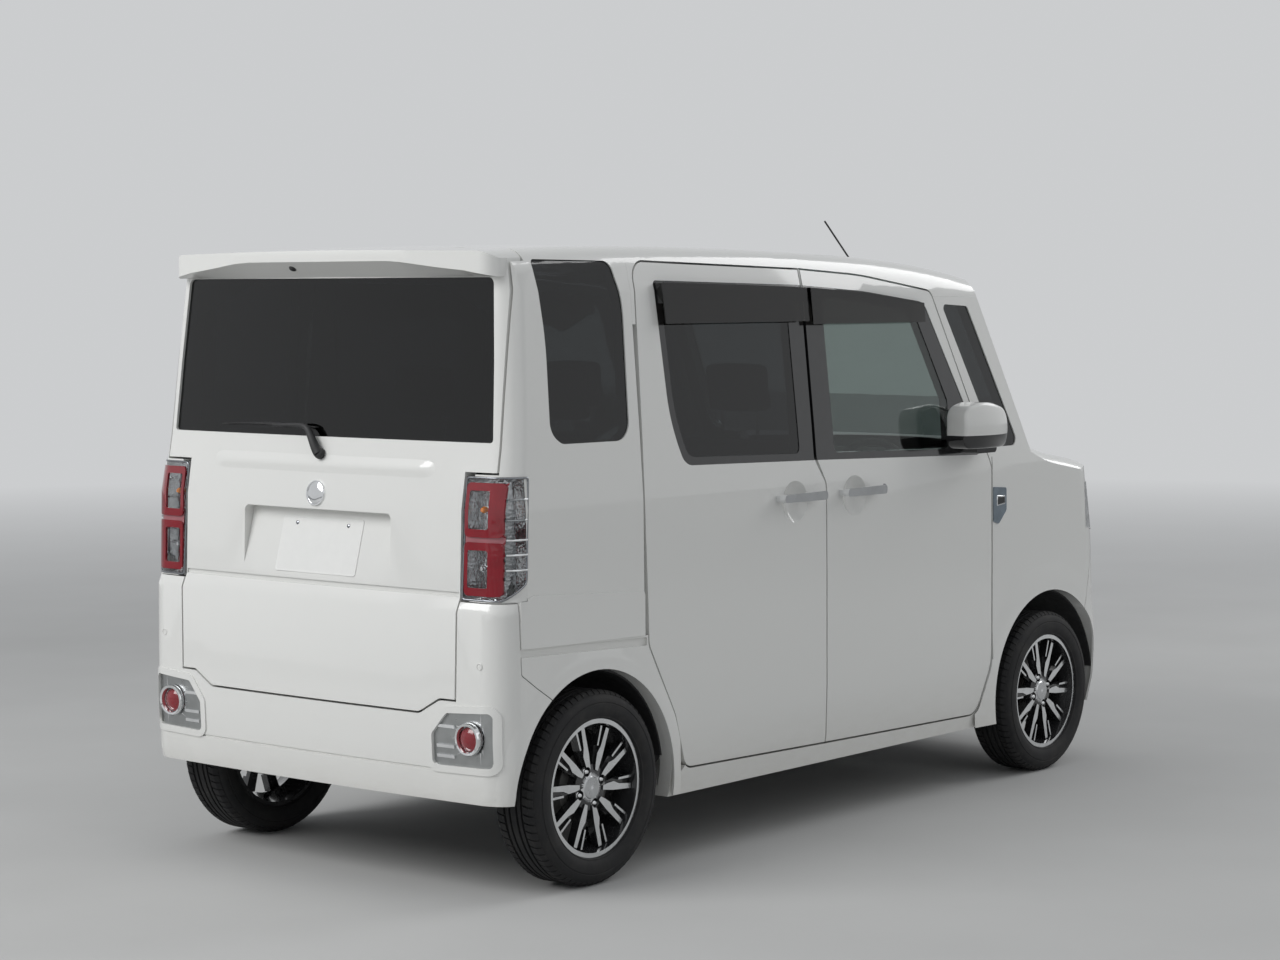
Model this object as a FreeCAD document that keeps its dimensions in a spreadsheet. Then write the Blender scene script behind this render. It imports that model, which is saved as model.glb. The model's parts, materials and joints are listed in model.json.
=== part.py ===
import FreeCAD, Part
import math
import os
from FreeCAD import Placement, Rotation, Vector

# A tall five-door kei car, as an assembly of its real panels, glass, lamps, seats, axles and wheels.
# Frame: +X forward, +Y to the car's left, +Z up. The origin is on the ground, in the middle of the
# car's length and width. All lengths are millimetres and all angles are degrees.

SIZES = (
    # name, value, meaning
    ("overall_length", 3395, "over both bumpers"),
    ("overall_width", 1475, "over the body, without mirrors"),
    ("overall_height", 1835, "ground to the roof's highest point"),
    ("wheelbase", 2455, "front to rear axle"),
    ("rear_overhang", 430, "rear axle to the rear bumper's end"),
    ("wheel_track", 1300, "between the wheels' centre planes"),
    ("wall", 45, "thickness of a whole door or side wall"),
    ("nose_wall", 40, "thickness of bonnet, fenders and bumpers"),
    ("shut_gap", 6, "gap between a moving panel and its neighbour"),
    ("seam_gap", 3, "gap between two bolted panels"),
    ("pane", 5, "thickness of a window pane"),
    ("pane_depth", 4, "how far a pane lies under the skin"),
    ("seat_fit", 0.3, "clearance round a pane or a lamp in its frame"),
    ("body_floor", 215, "underside of the sills"),
    ("floor_top", 258, "height of the cabin floor"),
    ("floor_thick", 30, "thickness of the floor"),
    ("bench_floor", 402, "height of the raised floor under the rear seat"),
    ("deck_top", 532, "height of the luggage floor"),
    ("door_low", 270, "lower edge of the side doors"),
    ("belt", 1165, "lower edge of the side windows at the door split"),
    ("belt_rise", 28, "how much the belt rises over each metre rearwards"),
    ("door_split", -155, "front edge of the sliding door"),
    ("door_front", 810, "front edge of the front door"),
    ("door_rear", -1050, "rear edge of the sliding door"),
    ("rake", 60, "slope of the windscreen from the horizontal"),
    ("screen_radius", 1700, "bow of the windscreen"),
    ("screen_foot_x", 1240, "windscreen's foot on the centre line"),
    ("screen_foot_z", 1160, "height of the windscreen's foot"),
    ("tyre_radius", 281, "outside radius of the tyre"),
    ("tyre_width", 165, "section width of the tyre"),
    ("bead_radius", 190, "radius of the tyre's bead seat"),
    ("rim_width", 136, "over the rim's two lips"),
    ("tyre_sides", 80, "flat sides of a tyre's ring"),
    ("rear_arch", 343, "radius of the rear wheel arch"),
    ("front_arch", 360, "radius of the front wheel arch"),
    ("kingpin_inset", 50, "steering axis inboard of the wheel's centre plane"),
    ("flare", 5, "how far the wheel arches' lips stand proud of the doors"),
    ("spoke_count", 10, "spokes of one wheel"),
    ("lug_count", 4, "bolts of one wheel"),
    ("lug_circle", 50, "radius of the wheel bolts' circle"),
    ("rim_face", 52, "spokes' outer face, outboard of the wheel's centre plane"),
    ("spoke_thick", 28, "a spoke along the axle"),
    ("disc_radius", 115, "radius of the front brake disc"),
    ("plate_wide", 330, "number plate's width"),
    ("plate_tall", 165, "number plate's height"),
    ("plate_tilt", 15, "number plate's lean, its foot rearmost"),
    ("plate_height", 965, "height of the rear number plate's centre"),
    ("plate_holes", 210, "spacing of the two plate screws"),
    ("plate_hole_radius", 3, "radius of a plate screw hole"),
    ("steering_radius", 185, "radius of the steering wheel"),
    ("seat_wide", 500, "width of a front seat"),
    ("engine_long", 400, "engine block along the car"),
    ("engine_wide", 640, "engine block across the car"),
    ("engine_tall", 480, "engine block's height"),
    ("tank_long", 400, "fuel tank along the car"),
    ("tank_wide", 760, "fuel tank across the car"),
    ("tank_tall", 165, "fuel tank's height"),
)

# Plan sections of the body, from the sills up. Each tuck is measured inwards from the widest section.
LEVELS = (
    # height, side tuck, rear tuck, nose tuck, rear corner, nose corner
    (180, 24, 36, 40, 72, 150),
    (300, 9, 7, 8, 88, 170),
    (460, 5, 0, 0, 90, 180),
    (812, 5.6, 5, 28, 86, 170),
    (852, 6, 23, 37, 84, 167),
    (1095, 8, 31, 90, 80, 150),
    (1270, 20, 60, 300, 74, 150),
    (1700, 55, 100, 500, 66, 150),
    (1900, 73, 118, 640, 60, 150),
)
REAR_BOW = 12000
NOSE_BOW = 2200

# Cross-sections of the roof and of the bonnet, from rear to front: top height on the centre line.
ROOF_STATIONS = (
    # place along the car, drop below the overall height
    (-1720, 24),
    (-1350, 6),
    (-900, 0),
    (-100, 15),
    (500, 52),
    (820, 101),
    (1400, 272),
)
BONNET_STATIONS = (
    # place along the car, drop below the overall height
    (600, 552),
    (1100, 635),
    (1400, 697),
    (1560, 752),
    (1640, 806),
    (1720, 890),
)

doc = FreeCAD.newDocument("kei_car")
sheet = doc.addObject("Spreadsheet::Sheet", "Sizes")
for row, (alias, value, meaning) in enumerate(SIZES, 1):
    sheet.set(f"A{row}", meaning)
    sheet.set(f"B{row}", str(value))
    sheet.setAlias(f"B{row}", alias)
doc.recompute()


def size(alias):
    """The value of one cell of the sheet."""
    return float(sheet.get(alias))


HALF = size("overall_width") / 2
REAR = -size("overall_length") / 2
NOSE = size("overall_length") / 2
TOP = size("overall_height")
REAR_AXLE = REAR + size("rear_overhang")
FRONT_AXLE = REAR_AXLE + size("wheelbase")
WHEEL_Y = size("wheel_track") / 2
RADIUS = size("tyre_radius")
WALL = size("wall")
NOSE_WALL = size("nose_wall")
GAP = size("shut_gap")
SEAM = size("seam_gap")
FIT = size("seat_fit")
FLOOR = size("body_floor")
DOOR_LOW = size("door_low")
SPLIT = size("door_split")
DOOR_FRONT = size("door_front")
DOOR_REAR = size("door_rear")
FAR = 3000
FRAME_DEPTH = 2
PILLAR_FOOT = 1128
FRONT_ARCH_DEPTH = 400
REAR_ARCH_DEPTH = 430
REAR_ARCH_X = REAR_AXLE - 8
nodes = []


def belt(x):
    """Height of the windows' lower edge at a place along the car."""
    return size("belt") - size("belt_rise") * (x - SPLIT) / 1000


# Profiles: corners given as (first, second, radius) in a named plane.

PLANES = {
    "xz": lambda a, b, c: Vector(a, c, b),
    "yz": lambda a, b, c: Vector(c, a, b),
    "xy": lambda a, b, c: Vector(a, b, c),
}
NORMALS = {"xz": Vector(0, 1, 0), "yz": Vector(1, 0, 0), "xy": Vector(0, 0, 1)}


def outline(corners, plane="xz", level=0.0):
    """A closed wire through corners, each rounded with its own radius."""
    place = PLANES[plane]
    count = len(corners)
    points = [Vector(c[0], c[1], 0) for c in corners]
    starts, ends, mids = [], [], []
    for i, corner in enumerate(corners):
        radius = corner[2] if len(corner) > 2 else 0
        here = points[i]
        back = (points[i - 1] - here).normalize()
        ahead = (points[(i + 1) % count] - here).normalize()
        half_turn = back.getAngle(ahead) / 2
        if radius and half_turn < math.pi / 2 - 1e-4:
            reach = radius / math.tan(half_turn)
            middle = (back + ahead).normalize()
            centre = here + middle * (radius / math.sin(half_turn))
            starts.append(here + back * reach)
            ends.append(here + ahead * reach)
            mids.append(centre - middle * radius)
        else:
            starts.append(here)
            ends.append(here)
            mids.append(None)
    edges = []
    for i in range(count):
        if mids[i] is not None:
            arc = [place(p.x, p.y, level) for p in (starts[i], mids[i], ends[i])]
            edges.append(Part.Arc(*arc).toShape())
        after = starts[(i + 1) % count]
        if (after - ends[i]).Length > 1e-4:
            a = place(ends[i].x, ends[i].y, level)
            b = place(after.x, after.y, level)
            edges.append(Part.LineSegment(a, b).toShape())
    return Part.Wire(Part.__sortEdges__(edges))


def prism(corners, plane, low, high, grow=0.0):
    """The outline, widened by grow, extruded from low to high along the plane's normal."""
    wire = outline(corners, plane, low)
    if grow:
        wire = wire.makeOffset2D(grow, 2)
    return Part.Face(wire).extrude(NORMALS[plane] * (high - low))


def block(x0, x1, y0, y1, z0, z1):
    """A box between two corners."""
    return Part.makeBox(x1 - x0, y1 - y0, z1 - z0, Vector(x0, y0, z0))


def bar(radius, start, end):
    """A round bar from start to end."""
    way = Vector(*end) - Vector(*start)
    return Part.makeCylinder(radius, way.Length, Vector(*start), way)


def across(radius, x, z, y0, y1):
    """A round bar across the car."""
    return Part.makeCylinder(radius, y1 - y0, Vector(x, y0, z), Vector(0, 1, 0))


def mirrored(shape):
    """The same piece on the car's other side."""
    return shape.mirror(Vector(0, 0, 0), Vector(0, 1, 0))


def biggest(shape):
    """The largest solid of a shape, where a cut leaves slivers."""
    return max(shape.Solids, key=lambda s: s.Volume)


def add_node(label, *shapes):
    """Adds a sub-part whose solids are these shapes."""
    solids = [s for shape in shapes for s in shape.Solids]
    body = solids[0] if len(solids) == 1 else Part.makeCompound(solids)
    place = body.Placement
    feature = doc.addObject("Part::Feature", label)
    feature.Label = label
    feature.Shape = body
    feature.Placement = place
    nodes.append(feature)
    return feature


# The body's outer form, and the same form moved inwards.


def plan_section(level, inset):
    """One plan section of the body: straight sides, bowed ends and round corners."""
    height, side, rear, nose, rear_corner, nose_corner = level
    half = HALF - side - inset
    ends = {}
    for key, reach, corner, bow in (
        ("rear", -REAR - rear - inset, max(rear_corner - inset, 4), REAR_BOW - inset),
        ("nose", NOSE - nose - inset, max(nose_corner - inset, 4), NOSE_BOW - inset),
    ):
        bow_centre = reach - bow
        corner_y = half - corner
        corner_x = bow_centre + math.sqrt((bow - corner) ** 2 - corner_y**2)
        aim = math.atan2(corner_y, corner_x - bow_centre)
        bow_point = (bow_centre + bow * math.cos(aim), bow * math.sin(aim))
        mid_aim = (aim + math.pi / 2) / 2
        corner_mid = (
            corner_x + corner * math.cos(mid_aim),
            corner_y + corner * math.sin(mid_aim),
        )
        ends[key] = (reach, corner_x, corner_mid, bow_point)

    def at(x, y):
        return Vector(x, y, height)

    reach, nx, nm, nb = ends["nose"]
    back, rx, rm, rb = ends["rear"]
    edges = [
        Part.LineSegment(at(-rx, -half), at(nx, -half)),
        Part.Arc(at(nx, -half), at(nm[0], -nm[1]), at(nb[0], -nb[1])),
        Part.Arc(at(nb[0], -nb[1]), at(reach, 0), at(nb[0], nb[1])),
        Part.Arc(at(nb[0], nb[1]), at(nm[0], nm[1]), at(nx, half)),
        Part.LineSegment(at(nx, half), at(-rx, half)),
        Part.Arc(at(-rx, half), at(-rm[0], rm[1]), at(-rb[0], rb[1])),
        Part.Arc(at(-rb[0], rb[1]), at(-back, 0), at(-rb[0], -rb[1])),
        Part.Arc(at(-rb[0], -rb[1]), at(-rm[0], -rm[1]), at(-rx, -half)),
    ]
    return Part.Wire([e.toShape() for e in edges])


def tower(inset):
    """The body seen from above: plan sections joined by ruled walls."""
    return Part.makeLoft([plan_section(level, inset) for level in LEVELS], True, True)


def top_section(x, height, shoulder, lean, crown, edge, inset):
    """One cross-section below a crowned top: shoulder is a point (y, z) on the leaning side."""
    tilt = math.radians(lean)
    out = (math.cos(tilt), math.sin(tilt))
    down = (math.sin(tilt), -math.cos(tilt))
    crown_centre = height - crown
    bow = crown - inset
    radius = max(edge - inset, 4)
    # The edge's arc lies at its own radius inside the side line and inside the crown.
    base = (
        shoulder[0] - out[0] * (radius + inset),
        shoulder[1] - out[1] * (radius + inset) - crown_centre,
    )
    along = base[0] * down[0] + base[1] * down[1]
    span = along**2 - (base[0] ** 2 + base[1] ** 2) + (bow - radius) ** 2
    step = -along - math.sqrt(span)
    centre = (base[0] + step * down[0], base[1] + step * down[1] + crown_centre)
    side_top = (centre[0] + out[0] * radius, centre[1] + out[1] * radius)
    aim = math.atan2(centre[1] - crown_centre, centre[0])
    crown_end = (centre[0] + radius * math.cos(aim), centre[1] + radius * math.sin(aim))
    mid_aim = (aim + tilt) / 2
    mid = (centre[0] + radius * math.cos(mid_aim), centre[1] + radius * math.sin(mid_aim))
    fall = side_top[1] / math.cos(tilt)
    foot = (side_top[0] + down[0] * fall, side_top[1] + down[1] * fall)

    def at(y, z):
        return Vector(x, y, z)

    edges = [
        Part.LineSegment(at(-foot[0], foot[1]), at(foot[0], foot[1])),
        Part.LineSegment(at(foot[0], foot[1]), at(*side_top)),
        Part.Arc(at(*side_top), at(*mid), at(*crown_end)),
        Part.Arc(at(*crown_end), at(0, height - inset), at(-crown_end[0], crown_end[1])),
        Part.Arc(
            at(-crown_end[0], crown_end[1]), at(-mid[0], mid[1]), at(-side_top[0], side_top[1])
        ),
        Part.LineSegment(at(-side_top[0], side_top[1]), at(-foot[0], foot[1])),
    ]
    return Part.Wire([e.toShape() for e in edges])


ROOF_SHOULDER = (HALF - 55.5, 1700)
BONNET_SHOULDER_DROP = 95


def roof_form(inset):
    """All that lies below the roof's skin."""
    sections = [
        top_section(x, TOP - drop, ROOF_SHOULDER, 12, 22500, 75, inset)
        for x, drop in ROOF_STATIONS
    ]
    return Part.makeLoft(sections, True, False)


BONNET_START = BONNET_STATIONS[0][0]


def bonnet_form(inset):
    """All that lies below the bonnet's and the fenders' upper skin."""
    sections = [
        top_section(
            x, TOP - drop, (HALF - 4, TOP - drop - BONNET_SHOULDER_DROP), 10, 4800, 62, inset
        )
        for x, drop in BONNET_STATIONS
    ]
    return Part.makeLoft(sections, True, False)


def screen_form(inset):
    """The large leaning cylinder whose front is the windscreen."""
    slope = math.radians(size("rake"))
    axis = Vector(-math.cos(slope), 0, math.sin(slope))
    normal = Vector(math.sin(slope), 0, math.cos(slope))
    foot = Vector(size("screen_foot_x"), 0, size("screen_foot_z"))
    start = foot - normal * size("screen_radius") - axis * FAR
    return Part.makeCylinder(size("screen_radius") - inset, 2 * FAR, start, axis)


forms = {}
WALL_INSETS = (0, WALL, NOSE_WALL)


def limits(kind, inset):
    """The forms that the cabin, the nose or the body lies within, moved inwards by inset.

    They are joined into one solid for the insets of whole walls, which are used again and again.
    """
    if (kind, inset) not in forms:
        solids = [tower(inset)]
        if kind == "cabin":
            solids += [roof_form(inset), screen_form(inset)]
        elif kind == "nose":
            solids.append(bonnet_form(inset))
        if inset in WALL_INSETS:
            joined = solids[0]
            for solid in solids[1:]:
                joined = joined.common(solid)
            solids = [joined]
        forms[kind, inset] = solids
    return forms[kind, inset]


def inside(kind, inset, field):
    """What of a field lies at least inset under the skin."""
    for form in limits(kind, inset):
        field = field.common(form)
    return field


def outside(kind, inset, field):
    """What of a field lies less than inset under the skin, or outside it."""
    solids = limits(kind, inset)
    if len(solids) == 1:
        return field.cut(solids[0])
    box = field.BoundBox
    room = block(
        box.XMin - 20, box.XMax + 20, box.YMin - 20, box.YMax + 20, box.ZMin - 20, box.ZMax + 20
    )
    return field.cut(inside(kind, inset, room))


def layer(kind, outer, inner, field):
    """What of a field lies between two depths under the skin."""
    return outside(kind, inner, inside(kind, outer, field))


def wall(field):
    """A whole wall of the cabin inside a field."""
    return layer("cabin", 0, WALL, field)


def nose_wall(field):
    """A whole wall of the nose inside a field."""
    return layer("nose", 0, NOSE_WALL, field)


# Outlines on the car's side, seen from the right, as (along the car, height, corner radius).

UPPER_SPLIT_EXTRA = 4
SPLIT_LEAN = 0.03
SPLIT_STEP = 50
SPLIT_SHOULDER = 1170
DOOR_TOP_SPLIT = 1762


def door_split_at(z, side=0):
    """Where the doors meet above the belt: side is +1 for the front door, -1 for the sliding door."""
    return SPLIT - SPLIT_STEP - SPLIT_LEAN * (z - SPLIT_SHOULDER) + side * UPPER_SPLIT_EXTRA


def front_door_outline():
    """The front door's edge."""
    return (
        (SPLIT, DOOR_LOW, 0),
        (DOOR_FRONT - 90, DOOR_LOW - 16, 60),
        (DOOR_FRONT, 420, 140),
        (DOOR_FRONT, 1095, 60),
        (498, 1692, 45),
        (100, 1744, 1500),
        (door_split_at(DOOR_TOP_SPLIT, 1), DOOR_TOP_SPLIT, 0),
        (door_split_at(SPLIT_SHOULDER, 1), SPLIT_SHOULDER, 60),
        (SPLIT, 1090, 60),
    )


def slide_door_outline():
    """The sliding door's edge, with its rear foot cut round the wheel arch."""
    return (
        (SPLIT, DOOR_LOW, 0),
        (SPLIT, 1090, 60),
        (door_split_at(SPLIT_SHOULDER, -1), SPLIT_SHOULDER, 60),
        (door_split_at(DOOR_TOP_SPLIT, -1), DOOR_TOP_SPLIT, 0),
        (DOOR_REAR + 10, 1784, 55),
        (DOOR_REAR - 8, 1095, 400),
        (DOOR_REAR + 8, 670, 60),
        (DOOR_REAR + 130, 450, 220),
        (DOOR_REAR + 180, DOOR_LOW + 16, 45),
    )


def slide_window_outline():
    """The dark field of the sliding door's window."""
    return (
        (-858, belt(-858) - 2, 55),
        (-918, 1300, 500),
        (-955, 1727, 14),
        (door_split_at(1712, -1), 1712, 0),
        (door_split_at(SPLIT_SHOULDER, -1), SPLIT_SHOULDER, 0),
        (door_split_at(SPLIT_SHOULDER, -1) + 4, belt(-200), 0),
    )


def front_window_outline():
    """The dark field of the front door's window."""
    return (
        (door_split_at(SPLIT_SHOULDER, 1) + 4, belt(-200), 0),
        (door_split_at(SPLIT_SHOULDER, 1), SPLIT_SHOULDER, 0),
        (door_split_at(1711, 1), 1711, 0),
        (110, 1692, 1500),
        (455, 1655, 60),
        (766, belt(766) - 2, 25),
    )


def slide_glass_outline():
    """The sliding door's pane inside its dark frame."""
    return (
        (-838, belt(-838) + 22, 45),
        (-893, 1320, 500),
        (-922, 1690, 20),
        (-305, 1678, 20),
        (-285, belt(-285) + 22, 20),
    )


def front_glass_outline():
    """The front door's pane inside its dark frame."""
    return (
        (-100, belt(-100) + 22, 20),
        (-120, 1674, 20),
        (110, 1658, 1200),
        (395, 1627, 50),
        (560, 1330, 0),
        (560, belt(560) + 22, 20),
    )


def quarter_glass_outline():
    """The tall window behind the sliding door."""
    return (
        (-1405, 1270, 48),
        (-1452, 1300, 60),
        (-1446, 1560, 900),
        (-1474, 1786, 16),
        (-1135, 1783, 40),
        (-1100, 1660, 300),
        (-1108, 1268, 60),
    )


def front_quarter_glass_outline():
    """The fixed pane between the front door and the windscreen pillar."""
    return (
        (560, 1648, 14),
        (842, 1160, 18),
        (990, 1160, 25),
        (716, 1640, 16),
    )


def right(corners, grow=0.0, deep=130):
    """A prism through the right wall."""
    return prism(corners, "xz", -HALF - 120, -HALF + deep, grow)


def arch(x, radius, inner):
    """A wheel arch's room on the right side, from inner outwards."""
    return across(radius, x, RADIUS, -HALF - 200, -inner)


def pane(corners):
    """A window pane let into the right wall."""
    depth = size("pane_depth")
    return biggest(layer("cabin", depth, depth + size("pane"), right(corners, -FIT)))


front_arch = arch(FRONT_AXLE, size("front_arch"), FRONT_ARCH_DEPTH)
rear_arch = arch(REAR_ARCH_X, size("rear_arch"), REAR_ARCH_DEPTH)

FLARE = size("flare")
FLARE_ROOT = 2
FLARES = {
    # wheel: centre along the car, arch radius, width of the lip, width of its slope
    "front": (FRONT_AXLE, size("front_arch"), 22, 70),
    "rear": (REAR_ARCH_X, size("rear_arch"), 16, 46),
}


def flare(wheel, room):
    """The raised lip round an arch inside a room, sloping down to the skin."""
    x, radius, lip, slope = FLARES[wheel]
    root = -HALF + FLARE + FLARE_ROOT
    spread = slope * (1 + FLARE_ROOT / FLARE)
    cone = Part.makeCone(
        radius + lip + spread,
        radius + lip,
        FLARE + FLARE_ROOT,
        Vector(x, root, RADIUS),
        Vector(0, -1, 0),
    )
    return cone.common(room)

# Side doors: the whole door is one thick shell with its window cut.


def side_door(edge, window, glass):
    """A door and its dark window frame, on the right side."""
    field = right(edge, -GAP / 2)
    door = wall(field).cut(right(window))
    ring = right(window, -FIT).common(right(edge, -GAP / 2 - FIT))
    frame = layer("cabin", FRAME_DEPTH, WALL - 8, ring).cut(right(glass))
    return biggest(door), biggest(frame)


front_door, front_frame = side_door(
    front_door_outline(), front_window_outline(), front_glass_outline()
)
slide_door, slide_frame = side_door(
    slide_door_outline(), slide_window_outline(), slide_glass_outline()
)
front_door = front_door.cut(front_arch)
slide_door = slide_door.cut(arch(REAR_ARCH_X, size("rear_arch") + 30, REAR_ARCH_DEPTH))
front_pane = pane(front_glass_outline())
slide_pane = pane(slide_glass_outline())


def visor(window, x0, x1, low):
    """A rain visor over a window: a strip that stands off the frame and is fixed at its top."""
    room = block(x0, x1, -HALF - 60, -500, low, 1800)
    strip = layer("cabin", -26, -22, right(window, -6).common(room))
    edge = block(x0, x1, -HALF - 60, -500, low + 60, 1800)
    rim = right(window, -6).cut(right(window, -14)).common(edge)
    return biggest(strip.fuse(layer("cabin", -26, 3, rim)))


front_frame = front_frame.fuse(visor(front_window_outline(), -400, 420, 1590))
slide_frame = slide_frame.fuse(visor(slide_window_outline(), -1100, 0, 1600))

HANDLE_Z = 1058
HANDLE_FOOT = 24
HANDLE_ROOT = 16
CUP_RADIUS = 95
CUP_STAND = 62
DOOR_GRIPS = {
    # door: handle's rear end, handle's front end, middle of the hand cup
    "front": (-98, 122, -2),
    "slide": (-432, -205, -322),
}


def door_handle(x0, x1):
    """A bar handle on two feet, standing off the door over its hand cup."""
    z = HANDLE_Z
    grip = prism(
        ((x0, z - 11, 9), (x0 + 8, z + 13, 9), (x1, z + 15, 11), (x1 + 2, z - 13, 11)),
        "xz",
        -HALF - 34,
        -HALF - 14,
    )
    feet = [
        block(x - 14, x + 14, -HALF - 20, -HALF + HANDLE_ROOT, z - 9, z + 9)
        for x in (x0 + HANDLE_FOOT, x1 - HANDLE_FOOT)
    ]
    return grip.fuse(feet)


def hand_cup(x):
    """The bowl behind a handle."""
    return Part.makeSphere(CUP_RADIUS, Vector(x, -HALF - CUP_STAND, HANDLE_Z - 13))


front_rear_x, front_front_x, front_cup_x = DOOR_GRIPS["front"]
slide_rear_x, slide_front_x, slide_cup_x = DOOR_GRIPS["slide"]
front_handle = outside("cabin", 0, door_handle(front_rear_x, front_front_x))
slide_handle = outside("cabin", 0, door_handle(slide_rear_x, slide_front_x))
front_door = front_door.cut(hand_cup(front_cup_x))
slide_door = slide_door.cut(hand_cup(slide_cup_x))

# The mirror is folded, its bowed back outwards, on an arm at the window's front corner.
MIRROR_SIDE = (
    (462, 1172, 34),
    (462, 1306, 46),
    (560, 1330, 220),
    (690, 1300, 70),
    (724, 1222, 60),
    (712, 1172, 34),
)
MIRROR_BOW = 300
MIRROR_EDGE = 14
mirror_shell = prism(MIRROR_SIDE, "xz", -880, -768)
mirror_shell = mirror_shell.common(Part.makeSphere(MIRROR_BOW, Vector(592, -878 + MIRROR_BOW, 1246)))
mirror_shell = mirror_shell.makeFillet(MIRROR_EDGE, mirror_shell.Edges)
mirror_arm = prism(
    ((610, 1150, 8), (596, 1200, 8), (715, 1200, 14), (735, 1150, 14)), "xz", -800, -700
)
mirror = mirror_shell.fuse(outside("cabin", FRAME_DEPTH - FIT, mirror_arm))

for side, turn in (("right", lambda s: s), ("left", mirrored)):
    add_node(f"front_door_{side}", turn(front_door))
    add_node(f"front_door_frame_{side}", turn(front_frame))
    add_node(f"front_door_glass_{side}", turn(front_pane))
    add_node(f"front_door_fittings_{side}", turn(mirror), turn(front_handle))
add_node("sliding_doors", slide_door, mirrored(slide_door))
add_node("sliding_door_frames", slide_frame, mirrored(slide_frame))
add_node("sliding_door_glass", slide_pane, mirrored(slide_pane))
add_node("sliding_door_handles", slide_handle, mirrored(slide_handle))

# Fixed side panels, roof, pillars and sills.

GATE_SEAM = -1500
ROOF_SEAM = DOOR_REAR - 12
ROOF_SIDE = 600
TAIL_LAMP = (845, 1188)
LAMP_FRONT = -1572
LAMP_INNER = 570


def gate_outline():
    """The tailgate's edge seen from behind, as (across the car, height, radius)."""
    half = (
        (428, 523, 32),
        (503, 566, 32),
        (562, 566, 0),
        (566, 838, 0),
        (566, 1196, 0),
        (676, 1196, 0),
        (668, 1700, 60),
        (640, 1900, 0),
    )
    return tuple((-y, z, r) for y, z, r in half) + tuple((y, z, r) for y, z, r in reversed(half))


gate_hole = prism(gate_outline(), "yz", REAR - 50, GATE_SEAM + GAP / 2, GAP / 2)

BUMPER_SIDE = (
    (REAR - 60, 100, 0),
    (REAR_AXLE - 300, 100, 0),
    (REAR_AXLE - 205, 556, 0),
    (-1598, 640, 12),
    (-1606, 840, 0),
    (REAR - 60, 840, 0),
)


def tail_lamp_box(grow):
    """The room of the right tail lamp, widened by grow."""
    return block(
        REAR - 60,
        LAMP_FRONT + grow,
        -HALF - 60,
        -LAMP_INNER + grow,
        TAIL_LAMP[0] - grow,
        TAIL_LAMP[1] + grow,
    )


slide_rail_slot = prism(
    ((-1604, 690, 4), (-1604, 714, 4), (DOOR_REAR, 694, 4), (DOOR_REAR, 670, 4)),
    "xz",
    -HALF - 60,
    -HALF + 14,
)

quarter_room = block(REAR - 50, DOOR_REAR + 150, -HALF - 50, -ROOF_SIDE, FLOOR, TOP + 50)
HAUNCH_RISE = 3.5
HAUNCH = (
    (-1600, 712, 0),
    (-1600, 846, 10),
    (-1546, 858, 30),
    (DOOR_REAR - 16, 829, 0),
    (DOOR_REAR + 40, 700, 0),
)
haunch = layer("cabin", -HAUNCH_RISE, 2, right(HAUNCH, 0, 60))
quarter = wall(quarter_room).fuse([haunch, flare("rear", quarter_room)])
for hole in (
    right(slide_door_outline(), GAP / 2),
    gate_hole,
    prism(BUMPER_SIDE, "xz", -HALF - 60, 0, SEAM),
    tail_lamp_box(FIT),
    right(quarter_glass_outline()),
    rear_arch,
    slide_rail_slot,
    block(ROOF_SEAM, 0, -HALF - 50, 0, 700, TOP + 50),
):
    quarter = quarter.cut(hole)
quarter = biggest(quarter)
add_node("quarter_panels", quarter, mirrored(quarter))

SCREEN_EDGE = (
    (-652, 1168, 60),
    (652, 1168, 60),
    (606, 1668, 60),
    (-606, 1668, 60),
)
SCREEN_ROOM = (700, 1500)
PILLAR_TOP = 1672
screen_hole = prism(SCREEN_EDGE, "yz", *SCREEN_ROOM)

roof_rear = block(GATE_SEAM + GAP / 2, ROOF_SEAM + FIT, -ROOF_SIDE + FIT, ROOF_SIDE - FIT, 1600, TOP + 50)
roof_front = block(ROOF_SEAM + FIT, 1300, -HALF, HALF, 1600, TOP + 50)
roof = wall(roof_rear.fuse(roof_front)).cut(screen_hole)
for edge in (front_door_outline(), slide_door_outline()):
    opening = right(edge, GAP / 2)
    roof = roof.cut(opening).cut(mirrored(opening))
roof = roof.cut(block(400, 1300, -HALF, HALF, 0, PILLAR_TOP))

# The tailgate's hinge tongues sit in slots of the roof.
GATE_HINGE_Z = 1826
TONGUE_LONG = 12
TONGUE_PLACES = (400, -410)
TONGUE_WIDE = 10
for y in TONGUE_PLACES:
    slot_low = y - FIT if y > 0 else y - 3
    slot_high = y + TONGUE_WIDE + (3 if y > 0 else FIT)
    roof = roof.cut(across(42, GATE_SEAM, GATE_HINGE_Z, slot_low, slot_high))
roof = biggest(roof)
add_node("roof", roof)

pillar_room = prism(
    (
        (462, PILLAR_TOP - FIT, 0),
        (900, PILLAR_TOP - FIT, 0),
        (1290, PILLAR_FOOT, 0),
        (DOOR_FRONT + 1, PILLAR_FOOT, 0),
        (DOOR_FRONT + 1, PILLAR_FOOT - 38, 0),
    ),
    "xz",
    -HALF - 50,
    -560,
)
pillar = wall(pillar_room).cut(right(front_door_outline(), GAP / 2)).cut(screen_hole)
pillar = biggest(pillar.cut(right(front_quarter_glass_outline())))
post_room = block(SPLIT - 75, SPLIT + 45, -HALF, -500, size("floor_top"), 1720)
post = biggest(layer("cabin", WALL + FIT, WALL + 40, post_room))
post_lean = prism(
    ((SPLIT - 75, 200, 0), (SPLIT + 45, 200, 0), (SPLIT + 45, 1100, 0), (SPLIT - 30, 1200, 0),
     (SPLIT - 45, 1720, 0), (SPLIT - 75, 1720, 0)),
    "xz",
    -HALF,
    -500,
)

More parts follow.
